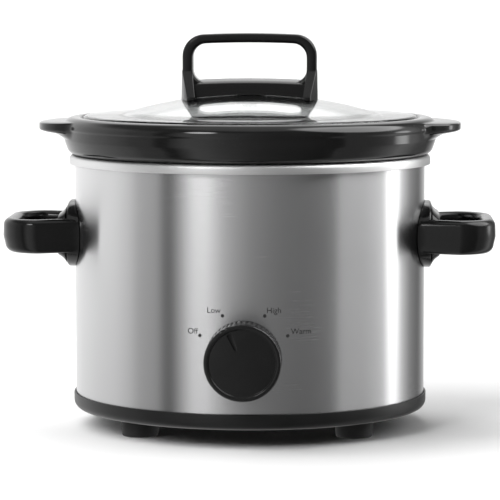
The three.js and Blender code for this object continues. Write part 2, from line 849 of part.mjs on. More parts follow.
// Plan of the grip: a U that is closed by the flange, with rounded outer corners.
function gripOutline(inset) {
  const outer = handleReach - inset;
  const half = handleHalfWidth - inset;
  const corner = handleCorner - inset;
  const root = shellRadius - 6;
  const rootHalf = flangeHalfWidth - 4 - inset;
  return [
    [root, -rootHalf],
    ...arc(outer - corner, corner - half, corner, -90, 0, 5),
    ...arc(outer - corner, half - corner, corner, 0, 90, 5),
    [root, rootHalf],
  ];
}

function fingerOutline() {
  const start = shellRadius + flangeThickness + flangeFillet / 2;
  const end = handleReach - handleWall;
  const half = handleHalfWidth - handleWall;
  const corner = handleCorner - handleWall;
  const small = 4;
  return [
    ...arc(start + small, small - half + 3, small, 180, 270, 2),
    ...arc(end - corner, corner - half, corner, -90, 0, 4),
    ...arc(end - corner, half - corner, corner, 0, 90, 4),
    ...arc(start + small, half - small - 3, small, 90, 180, 2),
  ];
}

// Side view of the flange and its flared root, inside an oval seen from the side.
function flangeSolid() {
  const face = shellRadius + flangeThickness;
  const top = handleHeight + flangeHalfHeight;
  const bottom = handleHeight - flangeHalfHeight;
  const flare = flangeFillet;
  const neck = face + flare;
  const profile = [
    [shellRadius - 12, bottom],
    [face, bottom],
    ...arc(neck, handleBottom - flare, flare, 180 - 8, 90, 4),
    [neck, handleTop],
    ...arc(neck, handleTop + flare, flare, 270, 180 + 8, 4),
    [face, top],
    [shellRadius - 12, top],
  ];
  const slab = solidOf(upright(profile, 2 * flangeHalfWidth));
  const steps = 32;
  const oval = [];
  for (let i = 0; i < steps; i += 1) {
    const angle = 2 * Math.PI * i / steps;
    oval.push([flangeHalfHeight * Math.cos(angle), flangeHalfWidth * Math.sin(angle)]);
  }
  const ovalBar = plate(oval, 40);
  ovalBar.translate(0, 0, shellRadius - 15);
  facingSide(ovalBar, handleHeight);
  return slab.intersect(solidOf(ovalBar));
}

function sideHandle() {
  const grip = plate(gripOutline(0), handleTop - handleBottom, handleBevel, 3);
  grip.translate(0, 0, handleBottom);
  let handle = flangeSolid().add(solidOf(grip));
  const finger = plate(fingerOutline(), 60);
  finger.translate(0, 0, handleHeight - 30);
  handle = handle.subtract(solidOf(finger));
  handle = handle.subtract(solidOf(rod(shellRadius + gap, 0, 300, roundSegments)));
  for (const level of [-0.5, 0.5]) {
    const pilot = rod(handleScrewRadius + holeClearance, 90, shellRadius + handleScrewDepth + gap, 12);
    handle = handle.subtract(solidOf(facingSide(pilot, handleHeight + level * handleScrewSpacing)));
  }
  return geometryOf(handle);
}

function handlePlate() {
  const outer = shellInner - gap;
  const inner = outer - handlePlateThickness;
  const bottom = handleHeight - handlePlateHeight / 2;
  const band = solidOf(ring(inner, outer, bottom, handlePlateHeight));
  const window = box(20, handlePlateWidth, handlePlateHeight + 2, outer, 0, handleHeight);
  let piece = band.intersect(solidOf(window));
  for (const level of [-0.5, 0.5]) {
    const hole = rod(handleScrewRadius + holeClearance, outer - 5, outer + 5, 12);
    piece = piece.subtract(solidOf(facingSide(hole, handleHeight + level * handleScrewSpacing)));
  }
  return geometryOf(piece);
}

function handleScrew() {
  const plateInner = shellInner - gap - handlePlateThickness;
  const seat = plateInner - facetDrop(handleScrewHeadRadius) - gap;
  const headBottom = seat - handleScrewHead;
  const tip = shellRadius + handleScrewDepth;
  const outline = [
    [0, headBottom],
    [handleScrewHeadRadius - 0.8, headBottom],
    [handleScrewHeadRadius, headBottom + 0.8],
    [handleScrewHeadRadius, seat],
    [handleScrewRadius, seat],
    [handleScrewRadius, tip],
    [0, tip],
  ];
  return turned(outline, 14);
}

function addSideHandles() {
  for (const [name, turn] of [['left', Math.PI], ['right', 0]]) {
    const side = new THREE.Group();
    side.rotation.z = turn;
    cooker.add(side);
    addPiece(`side_handle_${name}`, sideHandle(), glossBlack, side);
    addPiece(`handle_plate_${name}`, handlePlate(), zinc, side);
    for (const [level, offset] of [['lower', -0.5], ['upper', 0.5]]) {
      const screw = facingSide(handleScrew(), handleHeight + offset * handleScrewSpacing);
      addPiece(`handle_screw_${name}_${level}`, geometryOf(solidOf(screw)), zinc, side);
    }
  }
}

// ---------------------------------------------------------------- rotary switch and knob

// The switch and knob are made along +Z, the way the knob faces, and turned to the front.
function frontGroup(x = 0, turn = 0) {
  const group = new THREE.Group();
  group.position.set(x, 0, knobHeight);
  group.rotation.set(Math.PI / 2, 0, THREE.MathUtils.degToRad(turn));
  cooker.add(group);
  return group;
}

function addSwitchHousing() {
  const middle = switchFront - switchDepth / 2;
  const cavity = switchSize - 2 * switchWall;
  let housing = solidOf(box(switchSize, switchSize, switchDepth, 0, 0, middle));
  housing = housing.add(solidOf(rod(switchCollarRadius, switchFront - 1, switchCollarFront)));
  housing = housing.subtract(solidOf(box(cavity, cavity, switchDepth, 0, 0, middle - switchWall)));
  const bore = rod(shaftRadius + holeClearance, switchBack, switchCollarFront + 1);
  housing = housing.subtract(solidOf(bore));
  for (const side of [-1, 1]) {
    const pilot = rod(switchScrewRadius + holeClearance, switchFront - 5, switchFront + 1, 12);
    housing = housing.subtract(solidOf(pilot.translate(side * switchScrewX, 0, 0)));
  }
  addPiece('switch_housing', geometryOf(housing), phenolic, frontGroup());
}

function addSwitchCover() {
  const middle = (coverFront + coverBack) / 2;
  let cover = solidOf(box(switchSize, switchSize, switchWall, 0, 0, middle));
  for (const column of [-1, 0, 1]) {
    const slot = box(
      tabThickness + 2 * holeClearance,
      tabWidth + 2 * holeClearance,
      switchWall + 2,
      column * tabSpacing,
      0,
      middle,
    );
    cover = cover.subtract(solidOf(slot));
  }
  addPiece('switch_cover', geometryOf(cover), phenolic, frontGroup());
}

function addSwitchTabs() {
  for (const [name, column] of [['low', -1], ['live', 0], ['high', 1]]) {
    const middle = (tabFront + tabBack) / 2;
    const tab = box(tabThickness, tabWidth, tabLength, column * tabSpacing, 0, middle);
    addPiece(`switch_tab_${name}`, geometryOf(solidOf(tab)), brass, frontGroup());
  }
}

function addSwitchRotor() {
  const camFront = switchFront - switchWall - gap;
  const camBack = camFront - camLength;
  const outline = [
    [0, camBack],
    [camRadius, camBack],
    [camRadius, camFront],
    [shaftRadius, camFront],
    [shaftRadius, shaftFront],
    [0, shaftFront],
  ];
  const flatLength = shaftFront - hubBack + 2;
  const flatMiddle = shaftFront + 1 - flatLength / 2;
  const rotor = solidOf(turned(outline, smallSegments));
  const flat = box(4 * shaftRadius, shaftRadius, flatLength, 0, shaftFlat + shaftRadius / 2, flatMiddle);
  const notch = box(6, 6, camLength + 2, camRadius, 0, camFront - camLength / 2);
  const cut = rotor.subtract(solidOf(flat)).subtract(solidOf(notch));
  addPiece('switch_rotor', geometryOf(cut), matteBlack, frontGroup(0, knobSetting));
}

function addSwitchScrews() {
  const seat = shellRadius + gap;
  const tip = switchFront - switchWall + gap;
  const outline = [
    [0, tip],
    [switchScrewRadius, tip],
    [switchScrewRadius, seat],
    [switchScrewHeadRadius, seat],
    [switchScrewHeadRadius, seat + switchScrewHead],
    [0, seat + switchScrewHead],
  ];
  for (const [name, side] of [['left', -1], ['right', 1]]) {
    const screw = geometryOf(solidOf(turned(outline, 12)));
    addPiece(`switch_screw_${name}`, screw, zinc, frontGroup(side * switchScrewX));
  }
}

function addControlKnob() {
  const faceBack = knobReach - knobFace;
  const round = 1;
  const outline = [
    [0, faceBack],
    [knobRadius - knobWall, faceBack],
    [knobRadius - knobWall, knobBack],
    [knobRadius, knobBack],
    ...arc(knobRadius - round, knobReach - round, round, 0, 90, 3),
    [knobRadius - knobRimWidth, knobReach],
    [knobRadius - knobRimWidth - 1, knobReach - knobDish],
    [0, knobReach - knobDish],
  ];
  let knob = solidOf(turned(outline, 36));
  knob = knob.add(solidOf(rod(hubRadius, hubBack, faceBack + 1, 24)));
  const bore = solidOf(rod(shaftRadius + holeClearance, hubBack - 1, shaftFront + gap));
  const flat = box(4 * shaftRadius, 2, 40, 0, shaftFlat + holeClearance + 1, shaftFront);
  knob = knob.subtract(bore.subtract(solidOf(flat)));
  const pointerLength = 6;
  const pointer = box(1.2, pointerLength, 0.8, 0, knobRadius - 4 - pointerLength / 2, knobReach - knobDish);
  knob = knob.subtract(solidOf(pointer));
  addPiece('control_knob', geometryOf(knob), glossBlack, frontGroup(0, knobSetting));
}

function addKnobClip() {
  const inner = hubRadius + gap;
  const clip = solidOf(ring(inner, inner + clipThickness, hubBack + 2, clipWidth, 24));
  const mouth = solidOf(box(6, 6, clipWidth + 2, 0, -hubRadius, hubBack + 2 + clipWidth / 2));
  addPiece('knob_clip', geometryOf(clip.subtract(mouth)), zinc, frontGroup(0, knobSetting));
}

// ---------------------------------------------------------------- cord outlet and leads

function addCordGland() {
  const place = new THREE.Group();
  place.position.set(0, 0, glandHeight);
  place.rotation.x = -Math.PI / 2;
  cooker.add(place);
  const seat = shellRadius + gap;
  const flangeTop = seat + glandFlange;
  const tail = flangeTop - glandLength;
  const outline = [
    [glandBore, tail],
    [glandNeckRadius, tail],
    [glandNeckRadius, seat],
    [glandFlangeRadius, seat],
    [glandFlangeRadius, seat + glandFlange / 2],
    [glandFlangeRadius - 2, flangeTop],
    [glandBore, flangeTop],
  ];
  addPiece('cord_gland', geometryOf(solidOf(turned(outline, 24))), rubber, place);
  const clipTop = shellInner - facetDrop(glandFlangeRadius) - gap;
  const clip = ring(
    glandNeckRadius + gap,
    glandFlangeRadius,
    clipTop - glandClipWidth,
    glandClipWidth,
    24,
  );
  addPiece('gland_clip', geometryOf(solidOf(clip)), matteBlack, place);
}

// Insulated leads, each along a soft curve through hand-laid points.
function addLead(name, points) {
  const path = new THREE.CatmullRomCurve3(points.map((p) => new THREE.Vector3(...p)));
  const section = new THREE.Shape();
  section.absarc(0, 0, leadRadius, 0, 2 * Math.PI);
  const geometry = new THREE.ExtrudeGeometry(section, {
    steps: leadSteps,
    bevelEnabled: false,
    curveSegments: leadSides / 2,
    extrudePath: path,
  });
  addPiece(name, geometryOf(solidOf(geometry)), insulation);
}

function addLeads() {
  const outletY = shellRadius + gap + glandFlange - glandLength - gap;
  const tabEnd = gap - tabBack;
  const angle = THREE.MathUtils.degToRad(terminalAngle);
  const terminalX = terminalRadius * Math.cos(angle);
  const terminalY = terminalRadius * Math.sin(angle);
  const terminalEnd = terminalTop - terminalLength - gap;
  const floor = baseTop + 6;
  const underFuse = wellUnderside - 12;
  addLead('lead_live', [
    [-1.6, outletY, glandHeight],
    [-2, outletY - 12, glandHeight - 2],
    [-18, 40, floor],
    [-20, 0, floor],
    [-10, -36, floor + 12],
    [0, tabEnd + 12, knobHeight],
    [0, tabEnd, knobHeight],
  ]);
  addLead('lead_neutral', [
    [1.6, outletY, glandHeight],
    [3, outletY - 10, glandHeight - 1],
    [20, outletY - 16, glandHeight + 4],
    [-terminalX, terminalY, terminalEnd - 14],
    [-terminalX, terminalY, terminalEnd],
  ]);
  addLead('lead_low', [
    [-tabSpacing, tabEnd, knobHeight],
    [-tabSpacing, tabEnd + 10, knobHeight],
    [-44, -20, floor + 20],
    [-52, 30, floor + 22],
    [terminalX, terminalY, terminalEnd - 14],
    [terminalX, terminalY, terminalEnd],
  ]);
  addLead('lead_high', [
    [tabSpacing, tabEnd, knobHeight],
    [tabSpacing, tabEnd + 10, knobHeight],
    [fuseX - 4, -40, underFuse],
    [fuseX, -fuseLength / 2 - 10, wellUnderside - gap - fuseRadius],
    [fuseX, -fuseLength / 2 - gap, wellUnderside - gap - fuseRadius],
  ]);
}

// ---------------------------------------------------------------- assembly

addBasePan();
addFeet();
addOuterShell();
addHeatingWell();
addHeaterBand();
addHeaterStrap();
addStrapScrew();
addHeaterTerminals();
addThermalFuse();
addTieRod();
addCrock();
addGlassLid();
addLidHandle();
addLidFixings();
addSideHandles();
addSwitchHousing();
addSwitchCover();
addSwitchTabs();
addSwitchRotor();
addSwitchScrews();
addControlKnob();
addKnobClip();
addCordGland();
addLeads();

const group = new THREE.Group();
cooker.position.y = bodyShift;
group.add(cooker);

export default group;
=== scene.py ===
# %% [markdown]
# # A round slow cooker
#
# The cooker has a brushed steel body on a black base, a stoneware crock with a black
# glaze, a glass lid with a black loop handle, two side handles and a heat knob. The CAD
# model is already packed, with a named solid for every part and a body for everything
# that moves. Here each part that shows is modelled again with soft edges and its own
# finish, in metres, exactly where the CAD has it.

# %% Load the frame
import json
from math import asin, atan2, cos, degrees, pi, radians, sin, sqrt

import bmesh
import bpy
from mathutils import Matrix, Vector


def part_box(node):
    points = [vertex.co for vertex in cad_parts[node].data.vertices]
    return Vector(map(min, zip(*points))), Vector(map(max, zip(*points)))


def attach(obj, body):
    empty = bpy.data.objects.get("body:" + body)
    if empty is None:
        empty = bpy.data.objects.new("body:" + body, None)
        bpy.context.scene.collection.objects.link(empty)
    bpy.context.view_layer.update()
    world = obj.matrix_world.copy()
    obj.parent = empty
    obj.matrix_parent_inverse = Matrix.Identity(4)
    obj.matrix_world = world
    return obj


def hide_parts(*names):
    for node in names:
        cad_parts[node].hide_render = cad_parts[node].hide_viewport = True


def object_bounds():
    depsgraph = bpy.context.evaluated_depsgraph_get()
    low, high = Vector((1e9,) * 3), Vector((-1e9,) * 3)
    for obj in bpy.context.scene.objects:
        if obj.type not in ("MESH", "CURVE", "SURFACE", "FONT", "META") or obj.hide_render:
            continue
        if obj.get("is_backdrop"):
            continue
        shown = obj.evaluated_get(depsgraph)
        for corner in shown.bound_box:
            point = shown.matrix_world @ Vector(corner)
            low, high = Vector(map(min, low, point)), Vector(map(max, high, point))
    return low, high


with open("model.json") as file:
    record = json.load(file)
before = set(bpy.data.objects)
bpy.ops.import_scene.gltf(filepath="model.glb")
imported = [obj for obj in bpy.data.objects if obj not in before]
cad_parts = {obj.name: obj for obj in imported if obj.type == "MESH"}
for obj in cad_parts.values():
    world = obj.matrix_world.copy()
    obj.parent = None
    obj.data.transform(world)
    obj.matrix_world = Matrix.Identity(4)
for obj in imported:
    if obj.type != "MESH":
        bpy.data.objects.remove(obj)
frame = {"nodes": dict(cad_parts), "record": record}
cad_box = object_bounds()
mm = 0.001
nodes = frame["nodes"]
scene = bpy.context.scene

shell_low, shell_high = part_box("outer_shell")
shell_radius = (shell_high.x - shell_low.x) / 2
axis = Vector((0, (shell_low.y + shell_high.y) / 2, 0))
print("steel body radius", round(shell_radius / mm, 2), "mm, axis at y", round(axis.y / mm, 2))

# %% [markdown]
# ## Camera
#
# A kitchen machine looks its best from a good distance through a long lens, because the
# sides of the body then stay nearly parallel. The camera stands a little above the rim and
# two degrees to the right of the knob, and aims at the middle of the body.

# %% Camera
def added(name, data):
    """A new object in the scene."""
    made = bpy.data.objects.new(name, data)
    scene.collection.objects.link(made)
    return made


camera_distance = 1.698
camera_turn = radians(2)
camera_height = 0.2602
aim = axis + Vector((0, 0, 0.1))
camera = added("camera", bpy.data.cameras.new("camera"))
camera.data.sensor_width = 36
camera.data.lens = 213.6
camera.data.clip_end = 200
camera.location = axis + Vector((
    camera_distance * sin(camera_turn), -camera_distance * cos(camera_turn), camera_height))
camera.rotation_mode = "QUATERNION"
camera.rotation_quaternion = (aim - camera.location).to_track_quat("-Z", "Y")
scene.camera = camera
scene.view_settings.view_transform = "Standard"
print("camera", [round(v, 3) for v in camera.location])

# %% [markdown]
# ## Shader nodes
#
# Every finish is a small node tree, and so is the light of the studio. `put` makes one
# node and sets its sockets by name, so that a finish further down reads like a list of
# what it does. The others wrap the nodes that come back most: a colour ramp, a change of
# range, one sum, a mix of two shaders and the place on the object.

# %% Node helpers
def put(tree, kind, settings=None, **sockets):
    """Adds a node, sets its properties and the values of its input sockets."""
    made = tree.nodes.new(kind)
    for name, value in (settings or {}).items():
        setattr(made, name, value)
    for name, value in sockets.items():
        made.inputs[name.replace("_", " ")].default_value = value
    return made


def ramp(tree, value, stops, interpolation="LINEAR"):
    """Colours along a value: stops are (position, grey or colour)."""
    made = put(tree, "ShaderNodeValToRGB")
    made.color_ramp.interpolation = interpolation
    elements = made.color_ramp.elements
    while len(elements) < len(stops):
        elements.new(0.5)
    for element, (position, colour) in zip(elements, stops):
        element.position = position
    for element, (position, colour) in zip(elements, stops):
        shade = (colour,) * 3 if isinstance(colour, (int, float)) else colour
        element.color = (*shade, 1)
    tree.links.new(value, made.inputs[0])
    return made.outputs["Color"]


def spread(tree, value, low, high):
    """Turns a mask from 0 to 1 into a value from low to high."""
    made = put(tree, "ShaderNodeMapRange", To_Min=low, To_Max=high)
    tree.links.new(value, made.inputs["Value"])
    return made.outputs["Result"]


def feed(tree, socket, value):
    """Gives an input socket a number or the output of another node."""
    if isinstance(value, (int, float)):
        socket.default_value = value
    else:
        tree.links.new(value, socket)


def arithmetic(tree, operation, *operands):
    """One Math node: each operand is a socket or a number."""
    made = put(tree, "ShaderNodeMath", {"operation": operation})
    for socket, operand in zip(made.inputs, operands):
        feed(tree, socket, operand)
    return made.outputs[0]


def mixed(tree, share, first, second):
    """Mixes two shaders: a share of 0 gives the first, 1 the second."""
    made = put(tree, "ShaderNodeMixShader")
    for socket, source in zip(made.inputs, (share, first, second)):
        tree.links.new(source, socket)
    return made.outputs[0]


def place_on_object(tree):
    """The object coordinates of the surface."""
    return put(tree, "ShaderNodeTexCoord").outputs["Object"]


print("node helpers ready")

# %% [markdown]
# ## Studio
#
# Polished steel shows nothing but the room round it, so the room is the most important
# part of its look. The room here is a ring of pale panels with dark gaps between them,
# given by the direction in degrees from straight ahead of the knob, positive to the
# right, and how bright the room is there. Real studios do the same with white boards and
# black flags. Soft boxes stand higher up: each has its direction, how far its soft edge
# and its full core reach, all in degrees, and its light. They make the streaks on the
# glaze and the glass. Two soft lamps light the floor, one from the left and one from
# behind, so the shadow falls to the right.

# %% Studio light
panels = [
    (-180, 1.0), (-150, 1.1), (-130, 1.12), (-98, 0.98), (-84, 0.78), (-76, 0.54),
    (-61, 0.46), (-56, 0.16), (-51, 0.14), (-43, 0.6), (-37, 0.94), (-27, 0.84),
    (-18, 0.64), (-8, 0.46), (3, 0.31), (18, 0.22), (42, 0.13), (54, 0.1), (60, 0.14),
    (63, 0.4), (82, 0.36), (92, 0.5), (104, 0.86), (115, 1.2), (123, 0.8), (132, 0.36),
    (148, 0.16), (165, 0.6), (180, 1.0)]
dark_ceiling = 0.2
boxes = [
    ("right box", 92, 46, 33, 24, 4.0), ("left box", -31, 34, 10, 6, 9.0),
    ("top box", 10, 84, 34, 22, 0.6), ("back box", 180, 42, 26, 12, 1.2),
    ("side box", 109, 1, 10, 2, 3.2)]
fill_light = 0.1
seen_white = 1.1
lamps = [("key_light", -60, 42, 58, 2.75), ("rear_light", -150, 66, 40, 1.75)]


def toward(turn_degrees, lift_degrees):
    """The direction at a turn from straight ahead of the knob and a lift from level."""
    turned_by, lifted_by = radians(turn_degrees), radians(lift_degrees)
    return Vector((
        sin(turned_by) * cos(lifted_by), -cos(turned_by) * cos(lifted_by), sin(lifted_by)))


print(len(panels), "directions round the room,", len(boxes), "soft boxes")

# %% [markdown]
# The room is a world shader. A ramp on the turn of the ray gives the panels, a ramp on
# its height fades them into a darker ceiling, and each soft box is a smooth spot round
# its direction. Light Path then tells what asks: the camera sees plain white, rays that
# have left a dull surface see an even fill, and only mirrors see the room.

# %% Room for the mirrors
world = bpy.data.worlds.new("studio")
world.use_nodes = True
scene.world = world
room = world.node_tree
room.nodes.clear()
ray = put(room, "ShaderNodeTexCoord").outputs["Generated"]
parts = put(room, "ShaderNodeSeparateXYZ")
room.links.new(ray, parts.inputs[0])
toward_front = arithmetic(room, "MULTIPLY", parts.outputs["Y"], -1)
turn = arithmetic(room, "ARCTAN2", parts.outputs["X"], toward_front)
turn_share = arithmetic(room, "MULTIPLY_ADD", turn, 1 / (2 * pi), 0.5)
ring_of_panels = ramp(
    room, turn_share, [((angle + 180) / 360, light) for angle, light in panels])
height_share = ramp(
    room, parts.outputs["Z"], [(0, 0), (0.42, 0), (0.72, 1), (1, 1)], "EASE")

box_light = None
for name, box_turn, box_lift, edge, core, light in boxes:
    lean = put(room, "ShaderNodeVectorMath", {"operation": "DOT_PRODUCT", "label": name})
    room.links.new(ray, lean.inputs[0])
    lean.inputs[1].default_value = toward(box_turn, box_lift)
    inside = put(
        room, "ShaderNodeMapRange", {"interpolation_type": "SMOOTHSTEP"},
        From_Min=cos(radians(edge)), From_Max=cos(radians(core)), To_Min=0.0, To_Max=light)
    room.links.new(lean.outputs["Value"], inside.inputs["Value"])
    spot = inside.outputs["Result"]
    box_light = spot if box_light is None else arithmetic(room, "ADD", box_light, spot)


def glow(strength=1.0, **linked):
    """A white background shader whose Color or Strength may come from a socket."""
    made = put(room, "ShaderNodeBackground", Color=(1, 1, 1, 1), Strength=strength)
    for name, source in linked.items():
        room.links.new(source, made.inputs[name])
    return made.outputs[0]


walls_and_ceiling = mixed(room, height_share, glow(Color=ring_of_panels), glow(dark_ceiling))
mirrored_room = put(room, "ShaderNodeAddShader")
room.links.new(walls_and_ceiling, mirrored_room.inputs[0])
room.links.new(glow(Strength=box_light), mirrored_room.inputs[1])
seen = put(room, "ShaderNodeLightPath")
after_dull = arithmetic(room, "GREATER_THAN", seen.outputs["Diffuse Depth"], 0.5)
room_or_fill = mixed(room, after_dull, mirrored_room.outputs[0], glow(fill_light))
room_or_white = mixed(room, seen.outputs["Is Camera Ray"], room_or_fill, glow(seen_white))
output = put(room, "ShaderNodeOutputWorld")
room.links.new(room_or_white, output.inputs["Surface"])
print(len(room.nodes), "nodes in the room")

# %% [markdown]
# The lamps are suns, which light evenly from one direction. A wide disc makes a shadow
# soft. They are hidden from mirrors and glass, which would show them as hard spots.

# %% Lamps
for name, lamp_turn, lamp_lift, width, power in lamps:
    lamp = added(name, bpy.data.lights.new(name, "SUN"))
    lamp.data.energy = power
    lamp.data.angle = radians(width)
    lamp.rotation_mode = "QUATERNION"
    lamp.rotation_quaternion = (-toward(lamp_turn, lamp_lift)).to_track_quat("-Z", "Y")
    lamp.visible_glossy = False
    lamp.visible_transmission = False
print(len(lamps), "lamps")

# %% [markdown]
# The floor is one pale sheet that runs out past everything the camera sees. It is kept
# out of mirror reflections, as a black table cover is under polished metal, because the
# steel would otherwise show the floor in place of the panels.

# %% Floor
floor_size = 45
bm = bmesh.new()
bmesh.ops.create_grid(bm, x_segments=1, y_segments=1, size=floor_size)
floor_mesh = bpy.data.meshes.new("floor")
bm.to_mesh(floor_mesh)
bm.free()
floor = added("floor", floor_mesh)
floor_paper = bpy.data.materials.new("pale_paper")
floor_paper.use_nodes = True
paper = floor_paper.node_tree.nodes["Principled BSDF"]
paper.inputs["Base Color"].default_value = (0.88, 0.88, 0.88, 1)
paper.inputs["Roughness"].default_value = 0.9
paper.inputs["Specular IOR Level"].default_value = 0
floor_mesh.materials.append(floor_paper)
floor.visible_glossy = False
floor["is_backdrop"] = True
print("floor", floor_size * 2, "m wide")

# %% [markdown]
# ## Shared effects
#
# Three effects come back in many finishes, so each is a node group. `moulding` is the
# fine texture and slow unevenness of anything moulded, cast or glazed. `brushing` is the
# fine lines that a belt leaves as sheet runs past it: they run round the body, so the
# pattern is stretched round the axis and tight along the height. `handling` is the faint
# smudging and dust of a thing that has been picked up.

# %% Node groups
def new_group(name, inputs, outputs):
    """An empty shader group with float inputs {name: value} and float outputs."""
    group = bpy.data.node_groups.new(name, "ShaderNodeTree")
    for socket, value in inputs.items():
        made = group.interface.new_socket(name=socket, in_out="INPUT", socket_type="NodeSocketFloat")
        made.default_value = value
    for socket in outputs:
        group.interface.new_socket(name=socket, in_out="OUTPUT", socket_type="NodeSocketFloat")
    return group, put(group, "NodeGroupInput"), put(group, "NodeGroupOutput")


def scaled_noise(group, coordinates, scale, detail, roughness=0.5):
    """Noise whose scale is a socket or a number."""
    noise = put(group, "ShaderNodeTexNoise", Detail=detail, Roughness=roughness)
    group.links.new(coordinates, noise.inputs["Vector"])
    feed(group, noise.inputs["Scale"], scale)
    return noise.outputs[0]


moulding, given, result = new_group(
    "moulding", {"Grain Size": 0.4 * mm, "Cloud Size": 18 * mm}, ["Clouds", "Grain"])
where = place_on_object(moulding)
grain_scale = arithmetic(moulding, "DIVIDE", 1.0, given.outputs["Grain Size"])
cloud_scale = arithmetic(moulding, "DIVIDE", 1.0, given.outputs["Cloud Size"])
moulding.links.new(scaled_noise(moulding, where, cloud_scale, 3), result.inputs["Clouds"])
moulding.links.new(scaled_noise(moulding, where, grain_scale, 2), result.inputs["Grain"])

brushing, given, result = new_group(
    "brushing", {"Line Width": 0.12 * mm, "Line Length": 40 * mm}, ["Lines", "Drift"])
where = place_on_object(brushing)
centred = put(brushing, "ShaderNodeMapping")
centred.inputs["Location"].default_value = -axis
brushing.links.new(where, centred.inputs["Vector"])
apart = put(brushing, "ShaderNodeSeparateXYZ")
brushing.links.new(centred.outputs[0], apart.inputs[0])
around = arithmetic(brushing, "ARCTAN2", apart.outputs["X"], apart.outputs["Y"])
around = arithmetic(brushing, "MULTIPLY", around, shell_radius)
around = arithmetic(brushing, "DIVIDE", around, given.outputs["Line Length"])
across = arithmetic(brushing, "DIVIDE", apart.outputs["Z"], given.outputs["Line Width"])
unrolled = put(brushing, "ShaderNodeCombineXYZ")
brushing.links.new(around, unrolled.inputs["X"])
brushing.links.new(across, unrolled.inputs["Y"])
brushing.links.new(scaled_noise(brushing, unrolled.outputs[0], 1.0, 3, 0.65), result.inputs["Lines"])
brushing.links.new(scaled_noise(brushing, where, 14.0, 2), result.inputs["Drift"])

handling, given, result = new_group("handling", {"Amount": 0.5}, ["Smudges", "Dust"])
where = place_on_object(handling)
smudge = scaled_noise(handling, where, 32.0, 4, 0.6)
smudge = spread(handling, smudge, -0.9, 1.4)
smudge.node.clamp = True
smudge = arithmetic(handling, "MULTIPLY", smudge, given.outputs["Amount"])
handling.links.new(smudge, result.inputs["Smudges"])
specks = put(handling, "ShaderNodeTexVoronoi", Scale=420.0)
handling.links.new(where, specks.inputs["Vector"])
speck = arithmetic(handling, "LESS_THAN", specks.outputs["Distance"], 0.09)
speck = arithmetic(handling, "MULTIPLY", speck, given.outputs["Amount"])
handling.links.new(speck, result.inputs["Dust"])
print("node groups", [group.name for group in bpy.data.node_groups])


# %% [markdown]
# ## Finishes
#
# A finish starts from the Principled shader with its constants, and the shared effects
# drive what varies: colour, roughness and a very small bump. `finish` does this for all
# the moulded, glazed and plated parts, which differ only in their values.

# %% A finish from the shared effects
finishes = {}


def new_material(name, **constants):
    """A finish whose Principled shader has these socket values. Returns its tree and shader."""
    finishes[name] = bpy.data.materials.new(name)
    finishes[name].use_nodes = True
    tree = finishes[name].node_tree
    shader = tree.nodes["Principled BSDF"]
    for socket, value in constants.items():
        shader.inputs[socket.replace("_", " ")].default_value = value
    return tree, shader


def use_group(tree, group, **sockets):
    """Places a shared effect in a material with its own values."""
    return put(tree, "ShaderNodeGroup", {"node_tree": group}, **sockets)


def bumped(tree, shader, height, depth):
    """Raises the surface by a height mask, depth in metres."""
    bump = put(tree, "ShaderNodeBump", Distance=depth)
    tree.links.new(height, bump.inputs["Height"])
    tree.links.new(bump.outputs[0], shader.inputs["Normal"])


def shaded(tree, shader, mask, dark, light):
    """Mixes two colours by a mask, as the base colour."""
    colours = ramp(tree, mask, [(0.3, dark), (0.7, light)])
    tree.links.new(colours, shader.inputs["Base Color"])


def finish(name, colours, roughness, grain=0.3 * mm, depth=0.01 * mm, clouds=18 * mm,
           smudges=0.0, **constants):
    """Two colours and two roughnesses mixed by slow clouds, a fine grain and smudges."""
    tree, shader = new_material(name, **constants)
    cast = use_group(tree, moulding, Grain_Size=grain, Cloud_Size=clouds)
    shaded(tree, shader, cast.outputs["Clouds"], *colours)
    rough = spread(tree, cast.outputs["Clouds"], *roughness)
    if smudges:
        touched = use_group(tree, handling, Amount=smudges)
        smudged = arithmetic(tree, "MULTIPLY", touched.outputs["Smudges"], 0.16)
        dusty = arithmetic(tree, "MULTIPLY", touched.outputs["Dust"], 0.3)
        rough = arithmetic(tree, "ADD", rough, arithmetic(tree, "ADD", dusty, smudged))
    tree.links.new(rough, shader.inputs["Roughness"])
    bumped(tree, shader, cast.outputs["Grain"], depth)


finish("gloss_plastic", (0.004, 0.006), (0.11, 0.18), 0.9 * mm, 0.004 * mm, smudges=0.25, IOR=1.4)
finish("base_plastic", (0.006, 0.009), (0.3, 0.42), 0.35 * mm, 0.02 * mm, smudges=0.4,
       Specular_IOR_Level=0.3)
finish("foot_rubber", (0.012, 0.02), (0.6, 0.8), depth=0.03 * mm, smudges=0.6)
finish("switch_phenolic", ((0.05, 0.028, 0.016), (0.075, 0.045, 0.026)), (0.4, 0.6),
       0.5 * mm, 0.02 * mm)
finish("gasket_silicone", ((0.55, 0.55, 0.53), (0.64, 0.64, 0.62)), (0.45, 0.6))
finish("lead_insulation", ((0.62, 0.6, 0.54), (0.8, 0.78, 0.72)), (0.7, 0.9),
       0.25 * mm, 0.06 * mm, 2 * mm)
finish("heater_mica", ((0.36, 0.29, 0.19), (0.52, 0.44, 0.31)), (0.5, 0.8),
       1.2 * mm, 0.05 * mm, 6 * mm)
finish("plated_steel", ((0.55, 0.56, 0.58), (0.66, 0.67, 0.68)), (0.24, 0.38),
       depth=0.006 * mm, Metallic=1.0)
finish("contact_brass", ((0.66, 0.48, 0.22), (0.78, 0.6, 0.32)), (0.22, 0.4),
       depth=0.006 * mm, Metallic=1.0)
print(len(finishes), "finishes so far")
